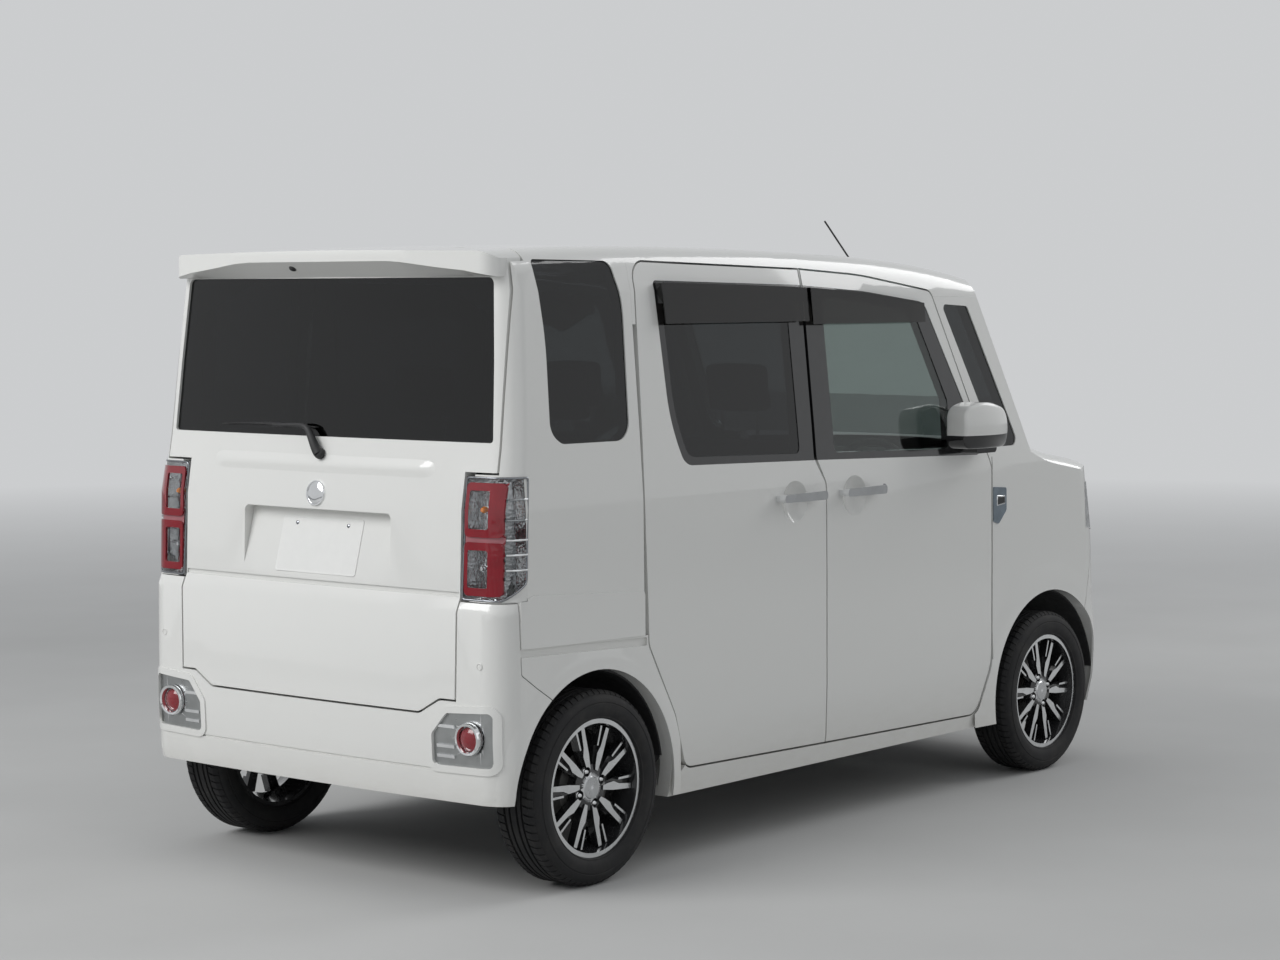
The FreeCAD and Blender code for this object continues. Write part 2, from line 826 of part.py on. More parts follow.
quarter_pane = pane(quarter_glass_outline())
front_quarter_pane = pane(front_quarter_glass_outline())
add_node(
    "fixed_side_glass",
    quarter_pane,
    mirrored(quarter_pane),
    front_quarter_pane,
    mirrored(front_quarter_pane),
)
screen = layer("cabin", 3, 9, prism(SCREEN_EDGE, "yz", *SCREEN_ROOM, -FIT))
add_node("windscreen", biggest(screen))

SILL_DEPTH = 110
DOOR_STEP = 26
sill_room = prism(
    (
        (REAR_AXLE + 300, FLOOR - 6, 0),
        (FRONT_AXLE - 375, FLOOR - 6, 0),
        (DOOR_FRONT + GAP, 330, 0),
        (DOOR_FRONT - 90, DOOR_LOW + 30, 0),
        (DOOR_REAR + 200, DOOR_LOW + 40, 0),
    ),
    "xz",
    -HALF - 50,
    -560,
)
sill = layer("body", 0, SILL_DEPTH, sill_room)
sill = sill.fuse([flare(wheel, sill_room) for wheel in FLARES]).cut(front_arch)
for edge in (front_door_outline(), slide_door_outline()):
    sill = sill.cut(right(edge, GAP / 2, WALL + DOOR_STEP))
sill = biggest(sill.cut(rear_arch).cut(quarter))
add_node("sills", sill, mirrored(sill))
post = biggest(post.common(post_lean).cut(sill))
add_node("pillars", pillar, mirrored(pillar), post, mirrored(post))

# Nose: bonnet, fenders, cowl, lamps, grille and bumper.

BONNET_SIDE = 600
BONNET_REAR = 1170
BONNET_LOW = 1012
BONNET_AXIS_Z = 1150
BONNET_TONGUE = (1158, 1120, 1146)


def bonnet_outline():
    """The bonnet's edge seen from above."""
    return (
        (BONNET_REAR, -BONNET_SIDE, 30),
        (1560, -BONNET_SIDE + 25, 90),
        (1640, -300, 400),
        (1668, 0, 1500),
        (1640, 300, 400),
        (1560, BONNET_SIDE - 25, 90),
        (BONNET_REAR, BONNET_SIDE, 30),
        (1262, 330, 400),
        (1290, 0, 1500),
        (1262, -330, 400),
    )


bonnet_hole = prism(bonnet_outline(), "xy", BONNET_LOW - GAP, 1400, GAP / 2)
bonnet = biggest(nose_wall(prism(bonnet_outline(), "xy", BONNET_LOW, 1400, -GAP / 2)))
tongues = [
    block(BONNET_TONGUE[0], BONNET_REAR + 12, y, y + TONGUE_WIDE, BONNET_TONGUE[1], BONNET_TONGUE[2])
    for y in (550, -560)
]
bonnet = bonnet.fuse([inside("nose", 2, t) for t in tongues])
add_node("bonnet", biggest(bonnet))

HEAD_LAMP = (
    (-700, 828, 20),
    (-420, 812, 20),
    (-405, 1002, 20),
    (-760, 1008, 20),
    (-760, 860, 20),
)
LAMP_ROOM = (1440, 1750)
BUMPER_TOP = 800
BUMPER_FRONT = (
    (FRONT_AXLE + 200, 100, 0),
    (1800, 100, 0),
    (1800, BUMPER_TOP, 0),
    (1500, BUMPER_TOP, 0),
    (FRONT_AXLE + 235, 560, 0),
)
head_lamp_hole = prism(HEAD_LAMP, "yz", *LAMP_ROOM)
FENDER_LOW = FLOOR - 6
FOOT_TOP = 434
FENDER_FOOT = (
    (650, FENDER_LOW, 0),
    (650, FOOT_TOP, 0),
    (DOOR_FRONT + GAP, FOOT_TOP, 0),
    (DOOR_FRONT + GAP, FENDER_LOW, 0),
)
fender_room = block(DOOR_FRONT + GAP, 1750, -HALF - 50, -ROOF_SIDE, FENDER_LOW, 1300)
fender_room = fender_room.fuse(right(FENDER_FOOT)).removeSplitter()
fender = nose_wall(fender_room).fuse(flare("front", fender_room))
cabin_above = inside("cabin", 0, block(700, 1300, -HALF - 50, -500, PILLAR_FOOT, 1500))
for hole in (
    bonnet_hole,
    prism(BUMPER_FRONT, "xz", -HALF - 50, 0, SEAM / 2),
    head_lamp_hole,
    front_arch,
    cabin_above,
    right(front_door_outline(), GAP / 2),
    sill,
):
    fender = fender.cut(hole)
GARNISH = (
    (DOOR_FRONT + GAP + 1, 905, 6),
    (DOOR_FRONT + GAP + 1, 1024, 3),
    (900, 1018, 8),
    (900, 940, 20),
    (850, 896, 12),
)
GARNISH_DEPTH = 8
fender = biggest(fender.cut(layer("body", -30, GARNISH_DEPTH + FIT, right(GARNISH, 0, 60))))
add_node("front_fenders", fender, mirrored(fender))
garnish = biggest(layer("body", -3, GARNISH_DEPTH, right(GARNISH, -FIT, 60)))
add_node("fender_garnishes", garnish, mirrored(garnish))

COWL_EDGE = (
    (1040, -640, 20),
    (1165, -640, 20),
    (1255, -330, 400),
    (1283, 0, 1500),
    (1255, 330, 400),
    (1165, 640, 20),
    (1040, 640, 20),
    (1040, 0, 0),
)
cowl = layer("nose", 6, NOSE_WALL + 40, prism(COWL_EDGE, "xy", 1000, 1300, -SEAM))
cowl = outside("cabin", -1, cowl).cut(prism(bonnet_outline(), "xy", 900, 1300, GAP))
for y in (550, -560):
    slot_low = y - FIT if y > 0 else y - 3
    slot_high = y + TONGUE_WIDE + (3 if y > 0 else FIT)
    cowl = cowl.cut(across(36, BONNET_REAR, BONNET_AXIS_Z, slot_low, slot_high))
cowl = biggest(cowl.cut(fender).cut(mirrored(fender)))
add_node("cowl", cowl)

head_lamp = layer("nose", -3, 70, prism(HEAD_LAMP, "yz", *LAMP_ROOM, -FIT))
head_lamp = biggest(head_lamp.cut(bonnet_hole))
add_node("head_lamps", head_lamp, mirrored(head_lamp))

GRILLE_LOW = BUMPER_TOP - SEAM / 2 + FIT
GRILLE = ((-398, GRILLE_LOW, 6), (-398, 1004, 12), (398, 1004, 12), (398, GRILLE_LOW, 6))
grille = layer("nose", 4, 34, prism(GRILLE, "yz", *LAMP_ROOM))
for z in (838, 880, 946):
    slot = ((-370, z, 8), (-370, z + 26, 8), (370, z + 26, 8), (370, z, 8))
    grille = grille.cut(prism(slot, "yz", *LAMP_ROOM))
LOWER_GRILLE = ((-330, 330, 20), (-370, 470, 20), (370, 470, 20), (330, 330, 20))
lower_grille = layer("nose", 10, 30, prism(LOWER_GRILLE, "yz", *LAMP_ROOM, -FIT))
for z in (352, 386, 420):
    slot = ((-320, z, 8), (-320, z + 18, 8), (320, z + 18, 8), (320, z, 8))
    lower_grille = lower_grille.cut(prism(slot, "yz", *LAMP_ROOM))
add_node("grilles", biggest(grille), biggest(lower_grille))

bumper_room = prism(BUMPER_FRONT, "xz", -HALF - 50, HALF + 50, -SEAM / 2)
front_lip = flare("front", bumper_room)
front_bumper = nose_wall(bumper_room).fuse([front_lip, mirrored(front_lip)])
for hole in (
    block(1300, 1800, -HALF - 50, HALF + 50, 0, 205),
    front_arch,
    mirrored(front_arch),
    prism(LOWER_GRILLE, "yz", *LAMP_ROOM),
):
    front_bumper = front_bumper.cut(hole)
PLATE_BRACKET = ((-175, 540, 8), (175, 540, 8), (175, 680, 8), (-175, 680, 8))
PLATE_MOUNT_Z = 650
front_bumper = front_bumper.fuse(layer("nose", -6, 2, prism(PLATE_BRACKET, "yz", *LAMP_ROOM)))
for side in (-1, 1):
    y = side * size("plate_holes") / 2
    hole = bar(size("plate_hole_radius"), (1500, y, PLATE_MOUNT_Z), (1750, y, PLATE_MOUNT_Z))
    front_bumper = front_bumper.cut(hole)
add_node("front_bumper", biggest(front_bumper))

# Tail: bumper with its bezels, lamps, tailgate with glass, plate and wiper.

BEZEL = (
    (-478, 382, 16),
    (-690, 386, 16),
    (-690, 540, 16),
    (-530, 530, 16),
    (-478, 470, 16),
)
TAIL_ROOM = (REAR - 60, -1560)
REFLECTOR = Vector(REAR + 2, -611, 463)
BUMPER_FOOT = 280
bumper_room = prism(BUMPER_SIDE, "xz", -HALF - 50, HALF + 50)
rear_lip = flare("rear", bumper_room)
BEZEL_FRAME = 20
BEZEL_RISE = 4
surround = layer("cabin", -BEZEL_RISE, 2, prism(BEZEL, "yz", *TAIL_ROOM, BEZEL_FRAME))
surround = surround.common(block(REAR - 60, -1600, -HALF + 16, 0, 0, 600))
ROLL_LINE = (366, 372)
roll_line = layer("cabin", -2, 4, block(REAR - 60, -1640, -HALF, HALF, *ROLL_LINE))
rear_bumper = wall(bumper_room).cut(roll_line)
rear_bumper = rear_bumper.fuse([rear_lip, mirrored(rear_lip), surround, mirrored(surround)])
bezel_hole = prism(BEZEL, "yz", *TAIL_ROOM)
for hole in (
    block(REAR - 60, -1300, -HALF - 50, HALF + 50, 0, BUMPER_FOOT),
    gate_hole,
    rear_arch,
    mirrored(rear_arch),
    bezel_hole,
    mirrored(bezel_hole),
):
    rear_bumper = rear_bumper.cut(hole)
add_node("rear_bumper", biggest(rear_bumper))
bezel = layer("cabin", 6, 36, prism(BEZEL, "yz", *TAIL_ROOM, -FIT))
bezel = bezel.cut(Part.makeCone(46, 36, 14, REFLECTOR + Vector(4, 0, 0), Vector(1, 0, 0)))
dome = Part.makeSphere(60, REFLECTOR + Vector(64, 0, 0))
reflector = dome.common(Part.makeCylinder(34, 30, REFLECTOR, Vector(1, 0, 0)))
LOUVRES = (404, 432, 488)
blades = Part.makeCompound([block(REAR - 60, -1560, -556, -492, z, z + 9) for z in LOUVRES])
bezel = bezel.fuse(layer("cabin", 1, 8, blades))
bezel = biggest(bezel.fuse(reflector).common(prism(BEZEL, "yz", *TAIL_ROOM, -FIT)))
add_node("rear_reflectors", bezel, mirrored(bezel))

LAMP_FRAMES = (
    # lower edge and upper edge of a square light
    (860, 1008),
    (1022, 1172),
)
LAMP_FRAME_SIDES = (-704, -580)
LAMP_WINDOW_SIDES = (-662, -592)
LAMP_WINDOW_EDGE = 22
LAMP_RISE = 5
LAMP_RIB = 9
LAMP_RIB_SHARES = (0.3, 0.65)
lamp_room = tail_lamp_box(-FIT)
tail_lamp = layer("cabin", 0, WALL, lamp_room)


def rounded(sides, low, high, radius):
    """Corners of a rounded square seen from behind."""
    return tuple((y, z, radius) for y, z in ((sides[0], low), (sides[0], high), (sides[1], high), (sides[1], low)))


lamp_frames, lamp_windows, lamp_ribs = [], [], []
for low, high in LAMP_FRAMES:
    frame = rounded(LAMP_FRAME_SIDES, low, high, 14)
    window = rounded(LAMP_WINDOW_SIDES, low + LAMP_WINDOW_EDGE, high - LAMP_WINDOW_EDGE, 6)
    lamp_frames.append(prism(frame, "yz", *TAIL_ROOM))
    lamp_windows.append(prism(window, "yz", *TAIL_ROOM))
    for share in LAMP_RIB_SHARES:
        z = low + (high - low) * share
        lamp_ribs.append(block(-1672, LAMP_FRONT - 8, -HALF - 20, -706, z, z + LAMP_RIB))
raised = layer("cabin", -LAMP_RISE, 2, Part.makeCompound(lamp_frames + lamp_ribs))
sunk = layer("cabin", -20, 3, Part.makeCompound(lamp_windows))
tail_lamp = tail_lamp.fuse(raised).cut(sunk)
tail_lamp = biggest(tail_lamp.common(lamp_room).cut(gate_hole))
add_node("tail_lamps", tail_lamp, mirrored(tail_lamp))

PLATE_X = -1652
PLATE_Z = size("plate_height")
PLATE_SLOPE = math.tan(math.radians(size("plate_tilt")))


def plate_back(z, stand=0.0):
    """Place along the car of the plate's back at a height, moved forward by stand."""
    away = stand / math.cos(math.radians(size("plate_tilt")))
    return PLATE_X + (z - PLATE_Z) * PLATE_SLOPE + away


gate = wall(prism(gate_outline(), "yz", REAR - 50, GATE_SEAM - GAP / 2, -GAP / 2))
SPOILER_LIP = (
    # place across the car, height of the lip
    (-652, 1744),
    (-560, 1770),
    (-280, 1789),
    (280, 1789),
    (560, 1770),
    (652, 1744),
)
SPOILER_PLAN = (
    (-1508, -652, 0),
    (-1508, 652, 0),
    (-1620, 652, 50),
    (-1658, 330, 900),
    (-1658, -330, 900),
    (-1620, -652, 50),
)
SPOILER_NOSE = ((-1500, 1700, 0), (-1500, 1900, 0), (-1630, 1900, 0), (-1656, 1806, 60), (-1656, 1700, 0))


def spoiler_section(y, lip):
    """A section of the spoiler: its underside slopes from the lip to the glass."""
    points = [(-1508, 1738), (-1508, 1860), (-1664, 1860), (-1664, lip), (-1594, 1738)]
    return Part.makePolygon([Vector(x, y, z) for x, z in points + points[:1]])


spoiler = Part.makeLoft([spoiler_section(*row) for row in SPOILER_LIP], True, True)
spoiler = spoiler.common(prism(SPOILER_PLAN, "xy", 1700, 1900))
spoiler = spoiler.common(prism(SPOILER_NOSE, "xz", -655, 655))
gate = gate.fuse(spoiler.common(roof_form(0)))
RECESS = (872, 1072)
RECESS_HALF = 300
backing = prism(
    ((-1668, 846, 0), (-1668, 1095, 0), (-1600, 1095, 0), (-1645, 846, 0)), "xz", -330, 330
)
recess = prism(
    (
        (REAR - 30, RECESS[0], 0),
        (plate_back(RECESS[0], FIT), RECESS[0], 6),
        (plate_back(RECESS[1], FIT), RECESS[1], 6),
        (REAR - 30, RECESS[1], 0),
    ),
    "xz",
    -RECESS_HALF,
    RECESS_HALF,
)
RECESS_CORNER = 16
recess_edge = rounded((-RECESS_HALF, RECESS_HALF), *RECESS, RECESS_CORNER)
recess = recess.common(prism(recess_edge, "yz", REAR - 30, -1560))
gate = gate.fuse(inside("cabin", 5, backing)).cut(recess)
GATE_WINDOW = (
    (-652, 1280, 10),
    (652, 1280, 10),
    (640, 1500, 900),
    (622, 1736, 20),
    (-622, 1736, 20),
    (-640, 1500, 900),
)
gate = gate.cut(prism(GATE_WINDOW, "yz", REAR - 50, -1545))
step = prism(
    ((REAR - 30, 870, 0), (-1655, 866, 0), (-1655, 853, 0), (REAR - 30, 853, 0)), "xz", -560, 560
)
gate = biggest(gate.cut(layer("cabin", -8, 5, step)))
gate_tongues = [
    block(GATE_SEAM - 12, GATE_SEAM + TONGUE_LONG, y, y + TONGUE_WIDE, 1788, 1820) for y in TONGUE_PLACES
]
gate = biggest(gate.fuse([inside("cabin", 3, t) for t in gate_tongues]))
add_node("tailgate", gate)
gate_pane = layer("cabin", 8, 13, prism(GATE_WINDOW, "yz", REAR - 50, -1545, -FIT))
add_node("tailgate_glass", biggest(gate_pane))

plate_wide, plate_tall = size("plate_wide"), size("plate_tall")
plate = Part.makeBox(1.5, plate_wide, plate_tall, Vector(-1.5, -plate_wide / 2, -plate_tall / 2))
plate.rotate(Vector(0, 0, 0), Vector(0, 1, 0), size("plate_tilt"))
plate.translate(Vector(PLATE_X, 0, PLATE_Z))
add_node("number_plate", plate)

WIPER_BARS = (
    # radius, start, end: the pivot's cap, the arm and the blade
    (17, (-1668, -6, 1232), (-1640, -6, 1236)),
    (7, (-1664, -6, 1232), (-1656, 56, 1312)),
    (5, (-1656, 56, 1312), (-1650, 420, 1304)),
)
wiper_bars = [bar(*row) for row in WIPER_BARS]
wiper = wiper_bars[0].fuse(wiper_bars[1]).fuse(wiper_bars[2])
add_node("rear_wiper", biggest(outside("cabin", 0, wiper)))

# Floor and what hangs under it.

FLOOR_TOP = size("floor_top")
THICK = size("floor_thick")
BENCH = size("bench_floor")
DECK = size("deck_top")
TOE_X = 885
floor_side = (
    (TOE_X, 1120, 0),
    (TOE_X - THICK, 1120, 0),
    (TOE_X - THICK, FLOOR_TOP, 30),
    (-330, FLOOR_TOP, 15),
    (-350, BENCH, 25),
    (-800, BENCH, 25),
    (-880, DECK, 40),
    (-1610, DECK, 0),
    (-1610, BUMPER_FOOT + 20, 0),
    (-1720, BUMPER_FOOT + 20, 0),
    (-1720, BUMPER_FOOT, 0),
    (-1590, BUMPER_FOOT, 0),
    (-1590, DECK - THICK, 0),
    (-900, DECK - THICK, 40),
    (-815, BENCH - THICK, 25),
    (-378, BENCH - THICK, 20),
    (-360, FLOOR_TOP - THICK, 20),
    (TOE_X, FLOOR_TOP - THICK, 30),
)
floor_pan = inside("body", WALL + FIT, prism(floor_side, "xz", -HALF, HALF))
cabin_room = block(-2000, BONNET_START, -HALF, HALF, 0, 2000)
floor_pan = floor_pan.common(bonnet_form(NOSE_WALL + FIT).fuse(cabin_room))
for piece in (sill, quarter, fender, rear_arch, front_arch):
    floor_pan = floor_pan.cut(piece).cut(mirrored(piece))
floor_pan = floor_pan.cut(cowl)
for hole in (
    block(-1800, -1580, -HALF, -540, 0, DECK - THICK),
    block(-1800, -1580, 540, HALF, 0, DECK - THICK),
):
    floor_pan = floor_pan.cut(hole)
floor_pan = biggest(floor_pan.cut(post).cut(mirrored(post)))
add_node("floor_pan", floor_pan)

LINER = 6
LINER_LOW = 330


def wheel_liner(x, radius, inner, outer):
    """A thin dark arch over one wheel, closed towards the middle of the car."""
    ring = across(radius, x, RADIUS, -outer, -inner)
    ring = ring.cut(across(radius - LINER, x, RADIUS, -outer - 1, -inner - LINER))
    return ring.cut(block(-2000, 2000, -HALF, 0, -200, LINER_LOW))


rear_liner = wheel_liner(REAR_ARCH_X, size("rear_arch"), REAR_ARCH_DEPTH, HALF - WALL)
front_liner = wheel_liner(FRONT_AXLE, size("front_arch"), FRONT_ARCH_DEPTH, HALF - NOSE_WALL - SEAM)
add_node("wheel_liners", rear_liner, mirrored(rear_liner), front_liner, mirrored(front_liner))

# Front frame: two rails and legs that carry the engine, the arms, the lamps and the bonnet's front.

RAIL = (340, 385)
PAD_TOP = 290
SUBFRAME = (205, 250)
CROSS_REAR = (1010, 1060)
CROSS_FRONT = (1400, 1450)
LAMP_BAR_X = (1498, 1528)
LAMP_BAR_Z = (965, 990)
UPPER_RAIL = (430, 485)
RAIL_END = 1700
PAD_HALF = 150
BUFFER = (300, 12, 1120)
frame_parts = [block(*LAMP_BAR_X, -560, 560, *LAMP_BAR_Z)]
for cross in (CROSS_REAR, CROSS_FRONT):
    frame_parts.append(block(*cross, -RAIL[1], RAIL[1], *SUBFRAME))
    frame_parts.append(block(*cross, -PAD_HALF, PAD_HALF, SUBFRAME[1] - 10, PAD_TOP))
for side in (-1, 1):
    rail = sorted((side * RAIL[0], side * RAIL[1]))
    buffer_y, buffer_radius, buffer_top = side * BUFFER[0], BUFFER[1], BUFFER[2]
    buffer_x = LAMP_BAR_X[0] + 14
    frame_parts += [
        block(TOE_X, RAIL_END, *rail, *UPPER_RAIL),
        block(TOE_X, LAMP_BAR_X[1], *rail, *SUBFRAME),
        block(*LAMP_BAR_X, *rail, SUBFRAME[0], LAMP_BAR_Z[1]),
        block(*CROSS_REAR, *rail, SUBFRAME[0], UPPER_RAIL[1]),
        bar(buffer_radius, (buffer_x, buffer_y, 980), (buffer_x, buffer_y, buffer_top)),
    ]
front_frame_solid = frame_parts[0].fuse(frame_parts[1:])
front_frame_solid = inside("nose", NOSE_WALL + FIT, front_frame_solid)
front_frame_solid = biggest(front_frame_solid.cut(head_lamp).cut(mirrored(head_lamp)).cut(floor_pan))
add_node("front_frame", front_frame_solid)

engine = doc.addObject("Part::Box", "engine_block")
engine.Label = "engine_block"
engine.setExpression("Length", "Sizes.engine_long")
engine.setExpression("Width", "Sizes.engine_wide")
engine.setExpression("Height", "Sizes.engine_tall")
ENGINE_REAR = 1030
engine.Placement = Placement(Vector(ENGINE_REAR, -size("engine_wide") / 2, PAD_TOP + FIT), Rotation())
nodes.append(engine)

tank = doc.addObject("Part::Box", "fuel_tank")
tank.Label = "fuel_tank"
tank.setExpression("Length", "Sizes.tank_long")
tank.setExpression("Width", "Sizes.tank_wide")
tank.setExpression("Height", "Sizes.tank_tall")
TANK_REAR = -795
tank_low = BENCH - THICK - FIT - size("tank_tall")
tank.Placement = Placement(Vector(TANK_REAR, -size("tank_wide") / 2, tank_low), Rotation())
nodes.append(tank)
doc.recompute()

# Cabin furniture.


# Side views of the pads, as (along the car, up, corner radius) from the seat's rear upper corner.
CUSHION = ((0, -170, 30), (480, -160, 50), (500, 0, 50), (0, -30, 30))
BACK = ((-80, -150, 40), (60, -120, 40), (-70, 560, 45), (-180, 550, 45))
HEAD_PAD = ((-30, 0, 25), (55, 0, 25), (25, 190, 30), (-60, 185, 30))
HEAD_HALF = 130
HEAD_BACK = 115
BACK_RISE = 590
POST_RADIUS = 6
POST_Y = 70
POST_X = 8


def pad(side_view, x, z, y, half):
    """A pad across the car, from its side view."""
    return prism(tuple((x + a, z + b, r) for a, b, r in side_view), "xz", y - half, y + half)


def seat(half, x, y, high):
    """A seat's cushion and back."""
    return pad(CUSHION, x, high, y, half).fuse(pad(BACK, x, high, y, half))


def head_rest(x, y, z):
    """A head restraint on two posts."""
    ends = [[(x + POST_X, y + d, z + rise) for rise in (-60, 20)] for d in (-POST_Y, POST_Y)]
    return pad(HEAD_PAD, x, z, y, HEAD_HALF).fuse([bar(POST_RADIUS, *pair) for pair in ends])


SEAT_Y = 350
SEAT_HIGH = 700
SEAT_BASE_TOP = SEAT_HIGH - 140
SEAT_BASE = (20, 400, 190)
BENCH_BASE = (40, 420, 500)
BENCH_HALF = 560
BENCH_REST_Y = 270
REAR_SEAT_X = -800
front_seats = []
for y in (-SEAT_Y, SEAT_Y):
    rear, front, half = SEAT_BASE
    base = block(rear, front, y - half, y + half, FLOOR_TOP + FIT, SEAT_BASE_TOP)
    rest = head_rest(-HEAD_BACK, y, SEAT_HIGH + BACK_RISE)
    front_seats.append(biggest(seat(size("seat_wide") / 2, 0, y, SEAT_HIGH).fuse([rest, base])))
add_node("front_seats", *front_seats)
rear, front, half = BENCH_BASE
rear_base = block(REAR_SEAT_X + rear, REAR_SEAT_X + front, -half, half, BENCH + FIT, SEAT_BASE_TOP)
rests = [
    head_rest(REAR_SEAT_X - HEAD_BACK, y, SEAT_HIGH + BACK_RISE) for y in (-BENCH_REST_Y, BENCH_REST_Y)
]
add_node("rear_seat", biggest(seat(BENCH_HALF, REAR_SEAT_X, 0, SEAT_HIGH).fuse(rests + [rear_base])))

dash_side = (
    (TOE_X - THICK, 640, 0),
    (TOE_X - THICK, 1128, 0),
    (760, 1150, 80),
    (640, 1100, 60),
    (660, 960, 40),
    (720, 860, 30),
    (730, 640, 30),
)
DASH_GAP = 20
DASH_HALF = 640
dashboard = inside("cabin", WALL + DASH_GAP, prism(dash_side, "xz", -DASH_HALF, DASH_HALF))
dashboard = dashboard.cut(floor_pan).cut(front_arch).cut(mirrored(front_arch))
COLUMN_END = Vector(610, -SEAT_Y, 1005)
COLUMN_WAY = Vector(-0.9, 0, 0.436).normalize()
COLUMN_RADIUS = 28
COLUMN_LONG = 140
column = Part.makeCylinder(COLUMN_RADIUS, COLUMN_LONG, COLUMN_END - COLUMN_WAY * COLUMN_LONG, COLUMN_WAY)
dashboard = biggest(dashboard.fuse(column))
add_node("dashboard", dashboard)

# Suspension.

KINGPIN_Y = WHEEL_Y - size("kingpin_inset")
ARM_LOW, ARM_HIGH = 205, 235
STRUT_Y = 525
STRUT_X = FRONT_AXLE
BALL_Y = KINGPIN_Y - 14
ARM_HALF = 30
STRUT_RADIUS = 24
STRUT_FOOT = 400
STRUT_PLATE = (40, 10)
plate_radius, plate_thick = STRUT_PLATE
arms = []
for side in (-1, 1):
    arm = prism(
        (
            (CROSS_REAR[0] + 2, side * (RAIL[1] + FIT), 0),
            (CROSS_REAR[1] - 2, side * (RAIL[1] + FIT), 0),
            (FRONT_AXLE + ARM_HALF, side * BALL_Y, 14),
            (FRONT_AXLE - ARM_HALF, side * BALL_Y, 14),
        ),
        "xy",
        ARM_LOW,
        ARM_HIGH,
    )
    arms.append(arm)
    # The strut's plate touches the liner's round ceiling with its rim.
    top = RADIUS + math.sqrt((size("front_arch") - LINER) ** 2 - plate_radius**2) - FIT
    foot, head = (STRUT_X, side * STRUT_Y, STRUT_FOOT), (STRUT_X, side * STRUT_Y, top - plate_thick / 2)
    plate_low = Vector(STRUT_X, side * STRUT_Y, top - plate_thick)
    plate_top = Part.makeCylinder(plate_radius, plate_thick, plate_low)
    arms.append(bar(STRUT_RADIUS, foot, head).fuse(plate_top))
add_node("front_suspension", *arms)

DRUM_RADIUS = 105
HUB_FACE = WHEEL_Y + 20 - FIT
BEAM_RADIUS = 32
BEAM_X = REAR_AXLE + 120
BEAM_Z = RADIUS - 20
TRAIL_ARM_Y = (455, 505)
TRAIL_ARM = (
    (-865, 262, 20),
    (-865, 312, 20),
    (REAR_AXLE - 30, RADIUS + 35, 20),
    (REAR_AXLE - 30, RADIUS - 35, 20),
)
STUB_RADIUS = 45
STUB_Y = (480, 590)
BRACKET_X = (-915, -868)
BRACKET_LOW = 290
SPRING_RADIUS = 45
SPRING_Y = 375
beam = across(BEAM_RADIUS, BEAM_X, BEAM_Z, -500, 500)
pieces = []
for side in (-1, 1):
    near, far = sorted(side * y for y in TRAIL_ARM_Y)
    inner, outer = sorted(side * y for y in STUB_Y)
    drum_inner, drum_outer = sorted((side * STUB_Y[1], side * HUB_FACE))
    spring_ends = [(BEAM_X, side * SPRING_Y, z) for z in (BEAM_Z, DECK - THICK)]
    pieces += [
        prism(TRAIL_ARM, "xz", near, far),
        across(STUB_RADIUS, REAR_AXLE, RADIUS, inner, outer),
        across(DRUM_RADIUS, REAR_AXLE, RADIUS, drum_inner, drum_outer),
        block(*BRACKET_X, near, far, BRACKET_LOW, DECK),
        bar(SPRING_RADIUS, *spring_ends),
    ]
rear_axle = biggest(beam.fuse(pieces).cut(floor_pan))
add_node("rear_axle", rear_axle)

SILENCER = Vector(-1480, 250, 330)
SILENCER_RADIUS = 60
HANGER_Y = 180
HANGER_RADIUS = 8
silencer = across(SILENCER_RADIUS, SILENCER.x, SILENCER.z, -SILENCER.y, SILENCER.y)
hangers = [
    bar(HANGER_RADIUS, (SILENCER.x, y, SILENCER.z + 50), (SILENCER.x, y, DECK - THICK))
    for y in (-HANGER_Y, HANGER_Y)
]
add_node("exhaust", biggest(silencer.fuse(hangers)))

# Wheels, each a body with its axle along its own Z, outboard side up.

ORIGIN_PLANES = {"xy": 3, "xz": 4}
Z_AXIS = 2


def sketch(body, name, plane, corners, level=0.0):
    """A closed outline on one of a body's origin planes."""
    made = body.newObject("Sketcher::SketchObject", name)
    made.AttachmentSupport = [(body.Origin.OriginFeatures[ORIGIN_PLANES[plane]], "")]
    made.MapMode = "FlatFace"
    made.AttachmentOffset = Placement(Vector(0, 0, level), Rotation())
    points = [Vector(a, b, 0) for a, b in corners]
    made.addGeometry(
        [Part.LineSegment(a, b) for a, b in zip(points, points[1:] + points[:1])], False
    )
    return made


def revolved(body, name, corners):
    """A revolution about the body's Z from corners given as (radius, along the axle)."""
    profile = sketch(body, f"{name}Profile", "xz", corners)
    turned = body.newObject("PartDesign::Revolution", name)
    turned.Profile = profile
    turned.ReferenceAxis = (profile, ["V_Axis"])
    turned.Angle = 360
    profile.Visibility = False
    return turned


def patterned(body, feature, count):
    """Repeats a feature about the body's Z, as many times as a cell of the sheet says."""
    pattern = body.newObject("PartDesign::PolarPattern", f"{feature.Name}Ring")
    pattern.Originals = [feature]
    pattern.Axis = (body.Origin.OriginFeatures[Z_AXIS], [""])
    pattern.Angle = 360
    pattern.setExpression("Occurrences", f"Sizes.{count}")
    body.Tip = pattern
    return pattern


half_tyre = size("tyre_width") / 2
half_rim = size("rim_width") / 2
bead = size("bead_radius")
